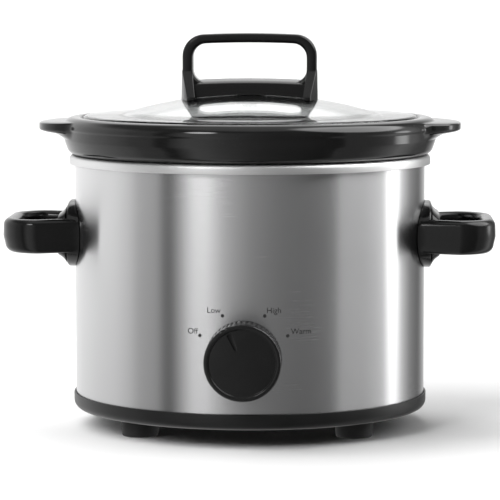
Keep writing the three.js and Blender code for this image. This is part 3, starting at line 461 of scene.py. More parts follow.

# %% [markdown]
# ## Brushed steel
#
# Each brush line is a tiny groove that runs round the body, so a highlight smears up and
# down across the lines and stays narrow sideways. That is anisotropy: the tangent runs
# round the Z axis, and the quarter turn of the rotation puts the long side of the
# highlight upright. The lines also vary colour and roughness a little. A ramp on height
# paints shade into the colour: darker towards the bottom and a little lighter at the top,
# in place of the darker reflections low on the body.

# %% Brushed and satin steel
def steel_sheet(name, colours, roughness, line_width, line_length, depth, anisotropic, bottom_painted_shade):
    """Sheet metal with belt lines that run round the body, and painted shade that darkens it towards the
    bottom.
    """
    tree, shader = new_material(
        name, Metallic=1.0, Anisotropic=anisotropic, Anisotropic_Rotation=0.25)
    brushed = use_group(tree, brushing, Line_Width=line_width, Line_Length=line_length)
    lines = ramp(tree, brushed.outputs["Lines"], [(0.25, colours[0]), (0.75, colours[1])])
    # Painted shade: the colour is multiplied by a ramp on height, darker towards the bottom and a little
    # lighter at the top.
    up = put(tree, "ShaderNodeSeparateXYZ")
    tree.links.new(place_on_object(tree), up.inputs[0])
    height = arithmetic(tree, "MULTIPLY", up.outputs["Z"], 1 / shell_high.z)
    painted_shade_ramp = ramp(tree, height, [(0.08, bottom_painted_shade), (0.5, (bottom_painted_shade + 1.02) / 2), (0.95, 1.04)])
    lines_with_painted_shade = put(tree, "ShaderNodeMix", {"data_type": "RGBA", "blend_type": "MULTIPLY"}, Factor=1.0)
    tree.links.new(lines, lines_with_painted_shade.inputs[6])
    tree.links.new(painted_shade_ramp, lines_with_painted_shade.inputs[7])
    tree.links.new(lines_with_painted_shade.outputs[2], shader.inputs["Base Color"])
    rough = spread(tree, brushed.outputs["Lines"], *roughness)
    drift = spread(tree, brushed.outputs["Drift"], -0.02, 0.02)
    tree.links.new(arithmetic(tree, "ADD", rough, drift), shader.inputs["Roughness"])
    bumped(tree, shader, brushed.outputs["Lines"], depth)
    tangent = put(tree, "ShaderNodeTangent", {"direction_type": "RADIAL", "axis": "Z"})
    tree.links.new(tangent.outputs[0], shader.inputs["Tangent"])


# The last value, 0.8, is the painted shade at the bottom of the body; the well gets 1.0, so only its top
# is a little lighter.
steel_sheet(
    "shell_steel", ((0.635, 0.635, 0.64), (0.67, 0.67, 0.675)), (0.24, 0.28),
    0.14 * mm, 45 * mm, 0.0004 * mm, 0.92, 0.8)
steel_sheet("well_steel", (0.76, 0.84), (0.4, 0.5), 0.3 * mm, 25 * mm, 0.002 * mm, 0.4, 1.0)
print("brushed and satin steel made")

# %% [markdown]
# ## Glaze and glass
#
# A glaze is a thick coat of glass on rough clay. It is smooth but never flat: the surface
# undulates by a few hundredths over some millimetres, which bends the reflections, and
# there are small pits in it. The lid is clear tempered glass with a slight green-grey
# tint, and its only unevenness is the faint waviness of pressed glass and a few smudges.

# %% Crock glaze and lid glass
tree, shader = new_material("crock_glaze", IOR=1.5)
cast = use_group(tree, moulding, Grain_Size=3.5 * mm, Cloud_Size=30 * mm)
pits = put(tree, "ShaderNodeTexVoronoi", Scale=260.0)
tree.links.new(place_on_object(tree), pits.inputs["Vector"])
pitted = arithmetic(tree, "LESS_THAN", pits.outputs["Distance"], 0.06)
shaded(tree, shader, cast.outputs["Clouds"], 0.003, (0.006, 0.006, 0.0058))
rough = spread(tree, cast.outputs["Clouds"], 0.05, 0.11)
rough_pits = arithmetic(tree, "MULTIPLY", pitted, 0.25)
tree.links.new(arithmetic(tree, "ADD", rough, rough_pits), shader.inputs["Roughness"])
bumped(tree, shader, cast.outputs["Grain"], 0.012 * mm)

tree, shader = new_material("lid_glass", Transmission_Weight=1.0, IOR=1.5, Metallic=0.0)
pressed = use_group(tree, moulding, Grain_Size=14 * mm, Cloud_Size=40 * mm)
touched = use_group(tree, handling, Amount=0.3)
shaded(tree, shader, pressed.outputs["Clouds"], (0.93, 0.95, 0.945), (0.96, 0.97, 0.965))
rough = spread(tree, touched.outputs["Smudges"], 0.0, 0.12)
tree.links.new(rough, shader.inputs["Roughness"])
bumped(tree, shader, pressed.outputs["Grain"], 0.01 * mm)
print("glaze and glass made")

# %% [markdown]
# ## Carried-over parts
#
# The heater, switch, screws and leads inside the body keep their CAD shapes, because
# they are never seen closely. Each still gets a real finish by its material slot.

# %% Finishes for the parts that keep their CAD shape
slot_of = {part["node"]: part["material_slot"] for part in frame["record"]["subparts"]}
for name, node in nodes.items():
    for place_in_list in range(max(1, len(node.material_slots))):
        if not node.material_slots:
            node.data.materials.append(finishes[slot_of[name]])
        node.material_slots[place_in_list].material = finishes[slot_of[name]]
print(len(nodes), "CAD parts have their finish")


# %% [markdown]
# ## Turned parts
#
# Most of a cooker is turned: pressed, spun or thrown on a wheel. Half of the section is
# drawn as corners, each corner is rounded with a bevel on the bare wire, and the spin
# operator sweeps it round the Z axis. `rounding` is how far from the corner its round
# begins. Points with the same axis position are merged, so that poles are closed.

# %% Turning and finishing pieces
smooth_steps = 192


def wire(bm, corners, closed):
    """A wire of (r, z) or (r, z, rounding) corners in the XZ plane, with its corners rounded."""
    points = [bm.verts.new((corner[0], 0, corner[1])) for corner in corners]
    pairs = list(zip(points, points[1:]))
    if closed:
        pairs.append((points[-1], points[0]))
    for pair in pairs:
        bm.edges.new(pair)
    roundings = {}
    for point, corner in zip(points, corners):
        if len(corner) > 2 and corner[2] > 0:
            roundings.setdefault(corner[2], []).append(point)
    for rounding, rounded in roundings.items():
        bmesh.ops.bevel(
            bm, geom=rounded, offset=rounding, offset_type="OFFSET", affect="VERTICES",
            segments=3 if rounding < 1.2 * mm else 6 if rounding < 6 * mm else 12,
            profile=0.5, material=-1)


def faced_out(bm):
    """Makes every face look outwards."""
    bmesh.ops.recalc_face_normals(bm, faces=bm.faces[:])
    return bm


def turned(corners, steps=smooth_steps):
    """A closed solid of revolution about Z from the corners of half its section."""
    bm = bmesh.new()
    wire(bm, corners, closed=corners[0][0] > 0)
    bmesh.ops.spin(
        bm, geom=bm.verts[:] + bm.edges[:], axis=(0, 0, 1), cent=(0, 0, 0),
        angle=2 * pi, steps=steps, use_merge=True)
    bmesh.ops.remove_doubles(bm, verts=bm.verts[:], dist=0.0005 * mm)
    return faced_out(bm)


def moved(bm, offset):
    """Moves a whole bmesh."""
    bmesh.ops.translate(bm, verts=bm.verts[:], vec=offset)
    return bm


def placed(bm, matrix):
    """Turns and moves a whole bmesh by a matrix."""
    bmesh.ops.transform(bm, verts=bm.verts[:], matrix=matrix)
    return bm


def standing(bm):
    """Moves a piece that was made about Z onto the cooker's axis."""
    return moved(bm, axis)


def from_axis(point):
    """How far a point is from the Z axis."""
    return sqrt(point.x ** 2 + point.y ** 2)


def push_out(vertex, distance, push):
    """Moves a point at a distance from the Z axis straight away from it."""
    vertex.co.x *= (distance + push) / distance
    vertex.co.y *= (distance + push) / distance


def piece(name, bm, slot, body, *replaced, sharp=32):
    """Turns a bmesh into a finished piece that stands for CAD nodes and rides on a body."""
    mesh = bpy.data.meshes.new(name)
    bm.to_mesh(mesh)
    bm.free()
    mesh.shade_smooth()
    mesh.set_sharp_from_angle(angle=radians(sharp))
    mesh.materials.append(finishes[slot])
    made = added(name, mesh)
    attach(made, body)
    if replaced:
        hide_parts(*replaced)
    print(name, len(mesh.polygons), "faces")
    return made


# %% [markdown]
# Holes are drilled as in a workshop: a cutter is taken away from the solid. A Boolean
# modifier does it, and its result is read back into a plain bmesh, so nothing is left
# live on the piece.

# %% Joining and cutting solids
def combined(bm, other, operation):
    """The Boolean of two closed solids, as a new bmesh: UNION or DIFFERENCE."""
    holders = []
    for solid in (bm, other):
        mesh = bpy.data.meshes.new("solid")
        solid.to_mesh(mesh)
        solid.free()
        holders.append(added("solid", mesh))
    modifier = holders[0].modifiers.new("cut", "BOOLEAN")
    modifier.operation = operation
    modifier.solver = "EXACT"
    modifier.object = holders[1]
    bpy.context.view_layer.update()
    shaped = holders[0].evaluated_get(bpy.context.evaluated_depsgraph_get())
    made = bmesh.new()
    made.from_mesh(shaped.to_mesh())
    shaped.to_mesh_clear()
    for holder in holders:
        mesh = holder.data
        bpy.data.objects.remove(holder)
        bpy.data.meshes.remove(mesh)
    bmesh.ops.remove_doubles(made, verts=made.verts[:], dist=0.002 * mm)
    return made


def pin(radius, start, end, segments=48):
    """A round bar between two points."""
    bm = bmesh.new()
    direction = end - start
    bmesh.ops.create_cone(
        bm, cap_ends=True, segments=segments, radius1=radius, radius2=radius, depth=direction.length)
    turn_to = direction.to_track_quat("Z", "Y").to_matrix().to_4x4()
    return placed(bm, Matrix.Translation((start + end) / 2) @ turn_to)


def upright(radius, low, high, x=0.0, y=0.0, segments=48):
    """A round bar along Z."""
    return pin(radius, Vector((x, y, low)), Vector((x, y, high)), segments)


def block(size):
    """A box with these three sides, about the origin."""
    bm = bmesh.new()
    bmesh.ops.create_cube(bm, size=1)
    bmesh.ops.scale(bm, verts=bm.verts[:], vec=size)
    return bm


def joined(*solids):
    """Puts separate solids in one bmesh, for cutters that don't touch each other."""
    whole = bmesh.new()
    for solid in solids:
        mesh = bpy.data.meshes.new("part")
        solid.to_mesh(mesh)
        solid.free()
        whole.from_mesh(mesh)
        bpy.data.meshes.remove(mesh)
    return whole


print("turning, cutting and joining are ready")


# %% [markdown]
# ## Base
#
# The base is one black moulding: a floor with a raised middle for the nut, a rounded
# outside edge, a thin lip that hides the cut edge of the steel, and a ring inside that
# centres it. Air slots let the heat out of the underside. They are made in the turned
# mesh itself: the quads of both floor faces are taken out, and the two holes are bridged.

# %% Base pan
base_low, base_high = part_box("base_pan")
base_radius = (base_high.x - base_low.x) / 2
foot_top = base_low.z
well_low, well_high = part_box("heating_well")
floor_top = foot_top + 2.6 * mm
lip_top = foot_top + 9.1 * mm
recess_radius = 12 * mm
recess_top = foot_top + 4 * mm
upstand = shell_radius - 0.9 * mm
vent_inner, vent_outer = 35 * mm, 55 * mm
bm = turned([
    (2.8 * mm, recess_top), (recess_radius, recess_top, 0.5 * mm),
    (recess_radius, foot_top, 0.5 * mm), (vent_inner, foot_top), (vent_outer, foot_top),
    (base_radius, foot_top, 4.5 * mm), (base_radius, lip_top, 0.4 * mm),
    (base_radius - 0.9 * mm, lip_top, 0.25 * mm), (base_radius - 0.9 * mm, floor_top),
    (upstand, floor_top), (upstand, floor_top + 5 * mm, 0.5 * mm),
    (upstand - 2 * mm, floor_top + 5 * mm, 0.5 * mm), (upstand - 2 * mm, floor_top, 0.8 * mm),
    (vent_outer, floor_top), (vent_inner, floor_top),
    (recess_radius + 2.6 * mm, floor_top, 0.5 * mm),
    (recess_radius + 2.6 * mm, recess_top + 2.6 * mm, 0.5 * mm),
    (2.8 * mm, recess_top + 2.6 * mm)])


def in_vent(face, number):
    """Whether a floor face lies in one of the eight air slots."""
    middle = face.calc_center_median()
    if not vent_inner < from_axis(middle) < vent_outer or middle.z > floor_top + 0.1 * mm:
        return False
    offset = (atan2(middle.y, middle.x) - (number + 0.5) * pi / 4 + pi) % (2 * pi) - pi
    return abs(offset) < 1.1 * 2 * pi / smooth_steps


for number in range(8):
    slot_faces = [face for face in bm.faces if in_vent(face, number)]
    rim_edges = {edge for face in slot_faces for edge in face.edges}
    rim_edges = [edge for edge in rim_edges if sum(f in slot_faces for f in edge.link_faces) == 1]
    bmesh.ops.delete(bm, geom=slot_faces, context="FACES_KEEP_BOUNDARY")
    bmesh.ops.bridge_loops(bm, edges=[edge for edge in rim_edges if edge.is_valid])
loose = [edge for edge in bm.edges if not edge.link_faces]
bmesh.ops.delete(bm, geom=loose, context="EDGES")
standing(faced_out(bm))
feet = ["foot_front_left", "foot_front_right", "foot_rear_left", "foot_rear_right"]
foot_middles = {name: (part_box(name)[0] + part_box(name)[1]) / 2 for name in feet}
stems = [upright(3.3 * mm, 0, 20 * mm, spot.x, spot.y) for spot in foot_middles.values()]
piece("base", combined(bm, joined(*stems), "DIFFERENCE"), "base_plastic", "cooker", "base_pan")

# %% [markdown]
# ## Feet
#
# Four rubber feet push into holes in the base. Each is turned, with a soft edge, two ring
# grooves in its sole for grip, and a barb that snaps through the hole.

# %% Feet
foot_radius = (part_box(feet[0])[1].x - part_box(feet[0])[0].x) / 2
foot_shoulder = foot_top - 0.3 * mm
barb_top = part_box(feet[0])[1].z
barb_bottom = barb_top - 2 * mm
groove = 0.7 * mm
foot_section = [
    (0, 0), (2.6 * mm, 0, 0.2 * mm), (2.9 * mm, groove, 0.2 * mm), (4.3 * mm, groove, 0.2 * mm),
    (4.6 * mm, 0, 0.2 * mm), (6.4 * mm, 0, 0.2 * mm), (6.7 * mm, groove, 0.2 * mm),
    (8.1 * mm, groove, 0.2 * mm), (8.4 * mm, 0, 0.2 * mm), (foot_radius - 0.4 * mm, 0, 0.9 * mm),
    (foot_radius, 4 * mm, 1.5 * mm), (foot_radius, foot_shoulder, 0.5 * mm), (3 * mm, foot_shoulder),
    (3 * mm, barb_bottom), (4.4 * mm, barb_bottom, 0.3 * mm), (3 * mm, barb_top, 0.4 * mm), (0, barb_top)]
for name, spot in foot_middles.items():
    bm = moved(turned(foot_section, steps=64), (spot.x, spot.y, 0))
    piece(name.replace("foot", "rubber_foot"), bm, "foot_rubber", "cooker", name)

# %% [markdown]
# ## Steel shell
#
# The body is a strip of brushed steel rolled into a ring, with its ends lapped in a
# narrow seam at the back. The ring is turned with a row of faces every centimetre, so the
# holes for the switch, the handle screws and the cord gland cut only the faces near them.

# %% Outer shell
shell_wall = 0.6 * mm
inner = shell_radius - shell_wall
rows = 14
levels = [shell_low.z + (shell_high.z - shell_low.z) * row / rows for row in range(rows + 1)]
bm = turned(
    [(shell_radius, level) for level in levels] + [(inner, level) for level in reversed(levels)])
seam_half = 1.1 * 2 * pi / smooth_steps
seam_margin = 10 * mm


def in_seam(face):
    """Whether a face lies on the outside of the narrow lap at the back."""
    middle = face.calc_center_median()
    if face.normal.y < 0.9 or middle.length < shell_radius * 0.9:
        return False
    if not shell_low.z + seam_margin < middle.z < shell_high.z - seam_margin:
        return False
    return abs(atan2(middle.x, middle.y)) < seam_half


seam = [face for face in bm.faces if in_seam(face)]
bmesh.ops.inset_region(bm, faces=seam, thickness=0.5 * mm, depth=0.25 * mm)
standing(bm)

knob_low, knob_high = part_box("control_knob")
knob_middle = Vector((0, 0, (knob_low.z + knob_high.z) / 2))
gland_low, gland_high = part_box("cord_gland")
gland_middle = Vector((0, 0, (gland_low.z + gland_high.z) / 2))
front, back = Vector((0, -1, 0)), Vector((0, 1, 0))
handle_screws = (100 * mm, 120 * mm)
screw_bore = 1.9 * mm


def hole(radius, middle, direction):
    """A cutter that passes through the steel wall at one side."""
    start, end = (middle + axis + direction * (shell_radius + past) for past in (-5 * mm, 5 * mm))
    return pin(radius, start, end)


cutters = [hole(5.3 * mm, knob_middle, front), hole(6.3 * mm, gland_middle, back)]
for side in (-1, 1):
    cutters.append(hole(1.8 * mm, knob_middle + Vector((side * 10 * mm, 0, 0)), front))
    for screw in handle_screws:
        cutters.append(hole(screw_bore, Vector((0, 0, screw)), Vector((side, 0, 0))))
bm = combined(bm, joined(*cutters), "DIFFERENCE")
piece("steel_shell", bm, "shell_steel", "cooker", "outer_shell")

# %% [markdown]
# ## Heating well
#
# Inside hangs a deep pan of satin aluminised steel. Its top edge turns out over the shell
# and down, and makes the pale band under the crock. The whole pan is one section.

# %% Heating well
rim_radius = (well_high.x - well_low.x) / 2
rim_top = well_high.z
well_floor = well_low.z
well_outer = shell_radius - shell_wall - 8.9 * mm
sheet_wall = 0.8 * mm
rim_bottom = rim_top - 5.2 * mm
piece("heating_pan", standing(turned([
    (0, well_floor), (well_outer, well_floor, 10 * mm),
    (well_outer, rim_top - sheet_wall, 2 * mm),
    (rim_radius - sheet_wall, rim_top - sheet_wall, 1.4 * mm),
    (rim_radius - sheet_wall, rim_bottom, 0.2 * mm), (rim_radius, rim_bottom, 0.2 * mm),
    (rim_radius, rim_top, 2.2 * mm),
    (well_outer - sheet_wall, rim_top, 2.8 * mm),
    (well_outer - sheet_wall, well_floor + sheet_wall, 9.2 * mm), (0, well_floor + sheet_wall),
])), "well_steel", "cooker", "heating_well")

# %% [markdown]
# ## Crock
#
# The crock is thrown stoneware: a deep bowl, a heavy band that hangs over the heating
# pan, a rolled rim with a step for the lid, and two ears to lift it by. The bowl is
# turned first. The ears are then pulled out of the band, as a potter would pull them:
# every point of the band near the side moves outwards. Low down it moves only half as
# far as at the flat top of the ear, so the underside slopes back into the band.

# %% Crock
crock_low, crock_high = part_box("crock")
crock_top, crock_foot = crock_high.z, crock_low.z
seat = rim_top + 0.3 * mm
crock_rim = shell_radius + 6.94 * mm
band = crock_rim - 0.6 * mm
lid_ledge = crock_rim - 10.7 * mm
ledge_height = crock_top - 4.5 * mm
bowl = well_outer - sheet_wall - 1.2 * mm
bead_bottom = crock_top - 6.5 * mm
ear_reach = (crock_high.x - crock_low.x) / 2
ear_top = crock_top - 2 * mm
ear_bottom = seat + 9 * mm
ear_shelf = 0.4
ear_rows = 26


def between(low, high, share):
    """The value at a share of the way from low to high."""
    return low + (high - low) * share


ear_levels = [
    between(ear_bottom, ear_top, (1 - cos(pi * row / ear_rows)) / 2) for row in range(1, ear_rows)]
rim_round = 6 * mm


def band_radius(height):
    """The band's outside: straight below, a little wider bead above, and a full round on top."""
    if height < bead_bottom:
        return band
    over = max(0, height - (crock_top - rim_round))
    return crock_rim - rim_round + sqrt(rim_round ** 2 - over ** 2)


rim_levels = [crock_top - short * mm for short in (2, 1.4, 0.9, 0.5, 0.25, 0.08)]
bm = turned([
    (0, crock_foot + 1.5 * mm), (bowl - 20.5 * mm, crock_foot + 1.5 * mm, 1 * mm),
    (bowl - 17.5 * mm, crock_foot, 1 * mm), (bowl - 3.5 * mm, crock_foot, 14 * mm),
    (bowl, seat, 2 * mm), (shell_radius + 1.4 * mm, seat, 0.7 * mm),
    (shell_radius + 4 * mm, seat + 2 * mm, 1 * mm), (band - 1.2 * mm, seat + 5 * mm, 2 * mm),
    (band, seat + 8.6 * mm, 2 * mm), (band, ear_bottom),
    *[(band_radius(level), level) for level in ear_levels], (band_radius(ear_top), ear_top),
    *[(band_radius(level), level) for level in rim_levels],
    (crock_rim - rim_round, crock_top), (lid_ledge, crock_top, 2 * mm),
    (lid_ledge, ledge_height, 0.8 * mm), (bowl - 6.5 * mm, ledge_height, 3 * mm),
    (bowl - 10 * mm, crock_foot + 8 * mm, 9 * mm), (0, crock_foot + 8 * mm)],
    steps=256)


def pull_of_ear(height):
    """How much of the ear's reach a point of the band gets at its height, from 0 to 1."""
    share = (height - ear_bottom) / (ear_top - ear_bottom)
    slope = min(1, share / ear_shelf)
    shelf = min(1, max(0, share - ear_shelf * 0.86) / 0.24)
    over = min(1, (ear_top - height) / (1.8 * mm))
    return (0.5 * slope ** 1.2 + 0.5 * (1 - (1 - shelf) ** 2.6)) * (1 - (1 - over) ** 4)


for vertex in bm.verts:
    distance = from_axis(vertex.co)
    if distance < band - 3 * mm or not ear_bottom < vertex.co.z < ear_top:
        continue
    angle = degrees(asin(abs(vertex.co.y) / distance))
    plan = max(0, 1 - (angle / 21.5) ** 4)
    push_out(vertex, distance, (ear_reach - distance) * plan ** 1.2 * pull_of_ear(vertex.co.z))
piece("crock_with_ears", standing(bm), "crock_glaze", "crock", "crock", sharp=50)

# %% [markdown]
# ## Glass lid
#
# The lid is a shallow dome of pressed glass with a thick flat brim, which stands on a
# small foot in the crock's ledge. Both faces of the dome are arcs about the same centre.

# %% Glass lid
lid_low, lid_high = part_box("glass_lid")
lid_top, lid_foot = lid_high.z, lid_low.z
lid_radius = (lid_high.x - lid_low.x) / 2
dome_radius = 250 * mm
dome_centre = lid_top - dome_radius
glass = 4 * mm
brim_top = lid_foot + 5 * mm


def dome_height(radius, distance):
    """How high a dome face of this radius is at a distance from the axis."""
    return dome_centre + sqrt(radius ** 2 - distance ** 2)


def dome_reach(radius, height):
    """How far from the axis a dome face of this radius comes down to a height."""
    return sqrt(radius ** 2 - (height - dome_centre) ** 2)


def dome_arc(radius, start, end, steps=14):
    """Corners along the dome between two distances from the axis."""
    return [
        (between(start, end, step / steps), dome_height(radius, between(start, end, step / steps)))
        for step in range(steps + 1)]


bore = 2.8 * mm
under = dome_radius - glass
upper_edge = dome_reach(dome_radius, brim_top)
under_edge = dome_reach(under, brim_top - glass)
piece("glass_dome", standing(turned([
    *dome_arc(under, bore, under_edge),
    (lid_radius - 5 * mm, brim_top - glass, 0.8 * mm), (lid_radius - 4.5 * mm, lid_foot, 0.6 * mm),
    (lid_radius, lid_foot, 1.6 * mm), (lid_radius, brim_top, 2 * mm),
    (upper_edge + 1.5 * mm, brim_top), *dome_arc(dome_radius, upper_edge - 1.5 * mm, bore)],
)), "lid_glass", "lid", "glass_lid", sharp=40)

# %% [markdown]
# ## Lid handle
#
# The handle is one phenolic moulding: a flat loop with a crowned top bar, a low saddle
# between its legs, and at each leg a foot that spreads to the front and back and narrows
# to its ends. It is built as it looks, from simple solids that each get soft edges first.
# They are then united, and the dome of the glass is taken away from the underside.

# %% Outlines, lofts and soft edges
def arc(x, z, radius, start, end, steps):
    """Points of a circular arc in the front view, angles in degrees."""
    return [
        (x + radius * cos(radians(between(start, end, step / steps))),
         z + radius * sin(radians(between(start, end, step / steps))))
        for step in range(steps + 1)]


def rounded_outline(left, right, bottom, top, bottom_round, top_round, steps=8):
    """A rounded rectangle, anticlockwise, with points along its straight sides too."""
    corners = [
        (left + bottom_round, bottom + bottom_round, bottom_round, 180),
        (right - bottom_round, bottom + bottom_round, bottom_round, 270),
        (right - top_round, top - top_round, top_round, 0),
        (left + top_round, top - top_round, top_round, 90)]
    bends = [arc(x, z, radius, start, start + 90, steps) for x, z, radius, start in corners]
    points = []
    for bend_points, following in zip(bends, bends[1:] + bends[:1]):
        points += bend_points
        points += [
            (between(bend_points[-1][0], following[0][0], step / steps),
             between(bend_points[-1][1], following[0][1], step / steps)) for step in range(1, steps)]
    return points


def loop_of(bm, points):
    """A closed wire through points. Returns its edges."""
    corners = [bm.verts.new(point) for point in points]
    return [bm.edges.new(pair) for pair in zip(corners, corners[1:] + corners[:1])]


def lofted(sections):
    """A closed solid through closed outlines of equal length, with both ends capped."""
    bm = bmesh.new()
    loops = [loop_of(bm, section) for section in sections]
    for near, far in zip(loops, loops[1:]):
        bmesh.ops.bridge_loops(bm, edges=near + far)
    for end in (loops[0], loops[-1]):
        bmesh.ops.contextual_create(bm, geom=end)
    return faced_out(bm)


def bevelled(bm, width, segments=4, angle=30):
    """Rounds the edges that turn by more than an angle."""
    edges = [e for e in bm.edges if len(e.link_faces) == 2 and e.calc_face_angle() > radians(angle)]
    bmesh.ops.bevel(
        bm, geom=edges, offset=width, offset_type="OFFSET", affect="EDGES",
        segments=segments, profile=0.5, material=-1, clamp_overlap=True)
    return bm


def in_front_view(points, y):
    """Places (x, z) points of the front view at a depth."""
    return [(x, y, z) for x, z in points]


print("outlines, lofts and bevels are ready")

# %% [markdown]
# The loop is two rounded outlines bridged into a flat ring and pulled to its depth. The
# saddle is one six-cornered section, lofted from leg to leg, with a sloping front edge
# that catches the light. Both are then bent upwards in the middle by moving their points.
# Everything reaches down into the glass, and the last cuts free it again.

# %% Lid handle
hold_low, hold_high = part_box("lid_handle")
grip_top = hold_high.z
half = (hold_high.x - hold_low.x) / 2 - 0.8 * mm
leg, bar, corner, bend, crown = 5.8 * mm, 5.2 * mm, 11.5 * mm, 7.5 * mm, 1.3 * mm
loop_depth = 18 * mm
shoulder = grip_top - crown
opening_bottom = lid_top + 7.6 * mm - crown
inner_half = half - leg
buried = lid_top - 8 * mm

outer_outline = rounded_outline(-half, half, buried, shoulder, 4 * mm, corner)
inner_outline = rounded_outline(-inner_half, inner_half, opening_bottom, shoulder - bar, bend, bend)
loop = bmesh.new()
outline_edges = [
    loop_of(loop, in_front_view(outline, -loop_depth / 2)) for outline in (outer_outline, inner_outline)]
bmesh.ops.bridge_loops(loop, edges=outline_edges[0] + outline_edges[1])
raised = bmesh.ops.extrude_face_region(loop, geom=loop.faces[:], use_keep_orig=True)["geom"]
raised_points = [part for part in raised if isinstance(part, bmesh.types.BMVert)]
bmesh.ops.translate(loop, verts=raised_points, vec=(0, loop_depth, 0))
bevelled(faced_out(loop), 1.9 * mm, segments=5, angle=50)

saddle_half, saddle_depth, saddle_flat = half - 3 * mm, 12 * mm, 4 * mm
saddle_top = opening_bottom + 1.3 * mm
saddle_edge = saddle_top - 2.4 * mm
saddle_section = [
    (-saddle_depth, buried - 1.5 * mm), (saddle_depth, buried - 1.5 * mm),
    (saddle_depth, saddle_edge), (saddle_flat, saddle_top),
    (-saddle_flat, saddle_top), (-saddle_depth, saddle_edge)]
saddle = lofted([
    [(between(-saddle_half, saddle_half, step / 16), y, z) for y, z in saddle_section]
    for step in range(17)])
bevelled(saddle, 0.7 * mm, segments=3, angle=40)
for solid in (loop, saddle):
    for vertex in solid.verts:
        vertex.co.z += crown * (1 - (vertex.co.x / half) ** 2)


def spread_foot(side):
    """One leg's foot: its ends slope down and narrow towards the front and the back."""
    deep, foot_rise, foot_end = buried - 3 * mm, lid_top + 14 * mm, lid_top - 1.3 * mm
    inside, outside = 30.1, half / mm + 0.75
    middle = [(inside, deep), (outside, deep), (outside - 0.55, foot_rise), (32.6, foot_rise)]
    end = [(inside, deep), (35.2, deep), (34.9, foot_end), (30.3, foot_end)]
    sections = [
        [(side * x * mm, y * mm, z) for x, z in points]
        for points, y in ((end, -22), (middle, -8.3), (middle, 8.3), (end, 22))]
    return bevelled(lofted(sections), 0.5 * mm, segments=2, angle=25)


handle = combined(loop, saddle, "UNION")
for side in (-1, 1):
    handle = combined(handle, spread_foot(side), "UNION")
glass_space = turned([
    (0, lid_top - 30 * mm), (60 * mm, lid_top - 30 * mm),
    *dome_arc(dome_radius + 0.3 * mm, 60 * mm, 0, 30)], steps=96)
handle = combined(handle, glass_space, "DIFFERENCE")
gasket_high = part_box("lid_gasket")[1]
screw_low, screw_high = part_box("lid_screw")
seal_recess = upright(9.3 * mm, lid_top - 5 * mm, gasket_high.z + 0.3 * mm)
handle = combined(handle, seal_recess, "DIFFERENCE")
screw_hole = upright(2.8 * mm, lid_top, screw_high.z + 0.3 * mm)
handle = combined(handle, screw_hole, "DIFFERENCE")
piece("loop_handle", standing(handle), "gloss_plastic", "lid", "lid_handle", sharp=30)

# %% [markdown]
# ## Lid fixings
#
# One screw comes up through the glass from below. A silicone disc above and a washer
# below keep metal and hard plastic off the glass. They are seen through the glass.

# %% Gasket, washer and screw
for name, radius, slot, node in (
        ("lid_seal", 9 * mm, "gasket_silicone", "lid_gasket"),
        ("lid_disc", 8 * mm, "plated_steel", "lid_washer")):
    low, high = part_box(node)
    disc = turned([
        (bore, low.z), (radius, low.z, 0.4 * mm), (radius, high.z, 0.4 * mm), (bore, high.z)], steps=64)
    piece(name, standing(disc), slot, "lid", node)
head_top = low.z - 0.3 * mm
screw = standing(turned([
    (0, screw_low.z), (4.5 * mm, screw_low.z, 1.2 * mm), (4.5 * mm, head_top, 0.2 * mm),
    (2.5 * mm, head_top), (2.5 * mm, screw_high.z, 0.4 * mm), (0, screw_high.z)], steps=48))
slot_cutter = moved(block((13 * mm, 1.2 * mm, 1.6 * mm)), axis + Vector((0, 0, screw_low.z)))
screw = combined(screw, slot_cutter, "DIFFERENCE")
piece("slotted_screw", screw, "plated_steel", "lid", "lid_screw")

# %% [markdown]
# ## Side handles
#
# Each side handle is a thick loop that the fingers go through, with a flange like a
# trumpet's bell against the shell. The loop is a flat plate with rounded edges, a little
# narrower below so that it leaves the mould. The finger hole is a cutter that widens at
# both faces, so the cut leaves a rounded edge.

# %% Grip and finger hole
handle_low, handle_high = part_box("side_handle_right")
level = 110 * mm
reach = handle_high.x
grip_bottom, grip_top_level = level - 9.3 * mm, level + 10 * mm
half_width = (handle_high.y - handle_low.y) / 2
wall, outer_corner, edge_round = 8 * mm, 21 * mm, 3.7 * mm
root = shell_radius - 6 * mm
flange_face = shell_radius + 3.6 * mm
finger_start = flange_face + 4.5 * mm
bend_x = reach - outer_corner

root_half = 28 * mm
grip_outline = [
    (root, -root_half),
    *arc(bend_x, outer_corner - half_width, outer_corner, -90, 0, 12),
    *arc(bend_x, half_width - outer_corner, outer_corner, 0, 90, 12),
    (root, root_half)]


def drafted(points, lean):
    """Pulls an outline in a little towards its far end."""
    return [
        (x - lean * max(0, x - shell_radius) / (reach - shell_radius),
         y * (1 - lean / reach * 0.5)) for x, y in points]


grip = lofted([
    [(x, y, grip_bottom) for x, y in drafted(grip_outline, 2 * mm)],
    [(x, y, level) for x, y in grip_outline],
    [(x, y, grip_top_level) for x, y in drafted(grip_outline, 0.3 * mm)]])
bevelled(grip, edge_round, segments=6, angle=50)


def finger_outline(flare):
    """The finger hole's outline, widened by a flare everywhere but at the body."""
    end_half = half_width - wall
    end_corner = outer_corner - wall
    small = 4 * mm
    points = [
        *arc(finger_start + small, small - end_half + 3 * mm, small + flare, 180, 270, 5),
        *arc(bend_x, end_corner - end_half, end_corner + flare, -90, 0, 10),
        *arc(bend_x, end_half - end_corner, end_corner + flare, 0, 90, 10),
        *arc(finger_start + small, end_half - small - 3 * mm, small + flare, 90, 180, 5)]
    return [(max(x, finger_start), y) for x, y in points]


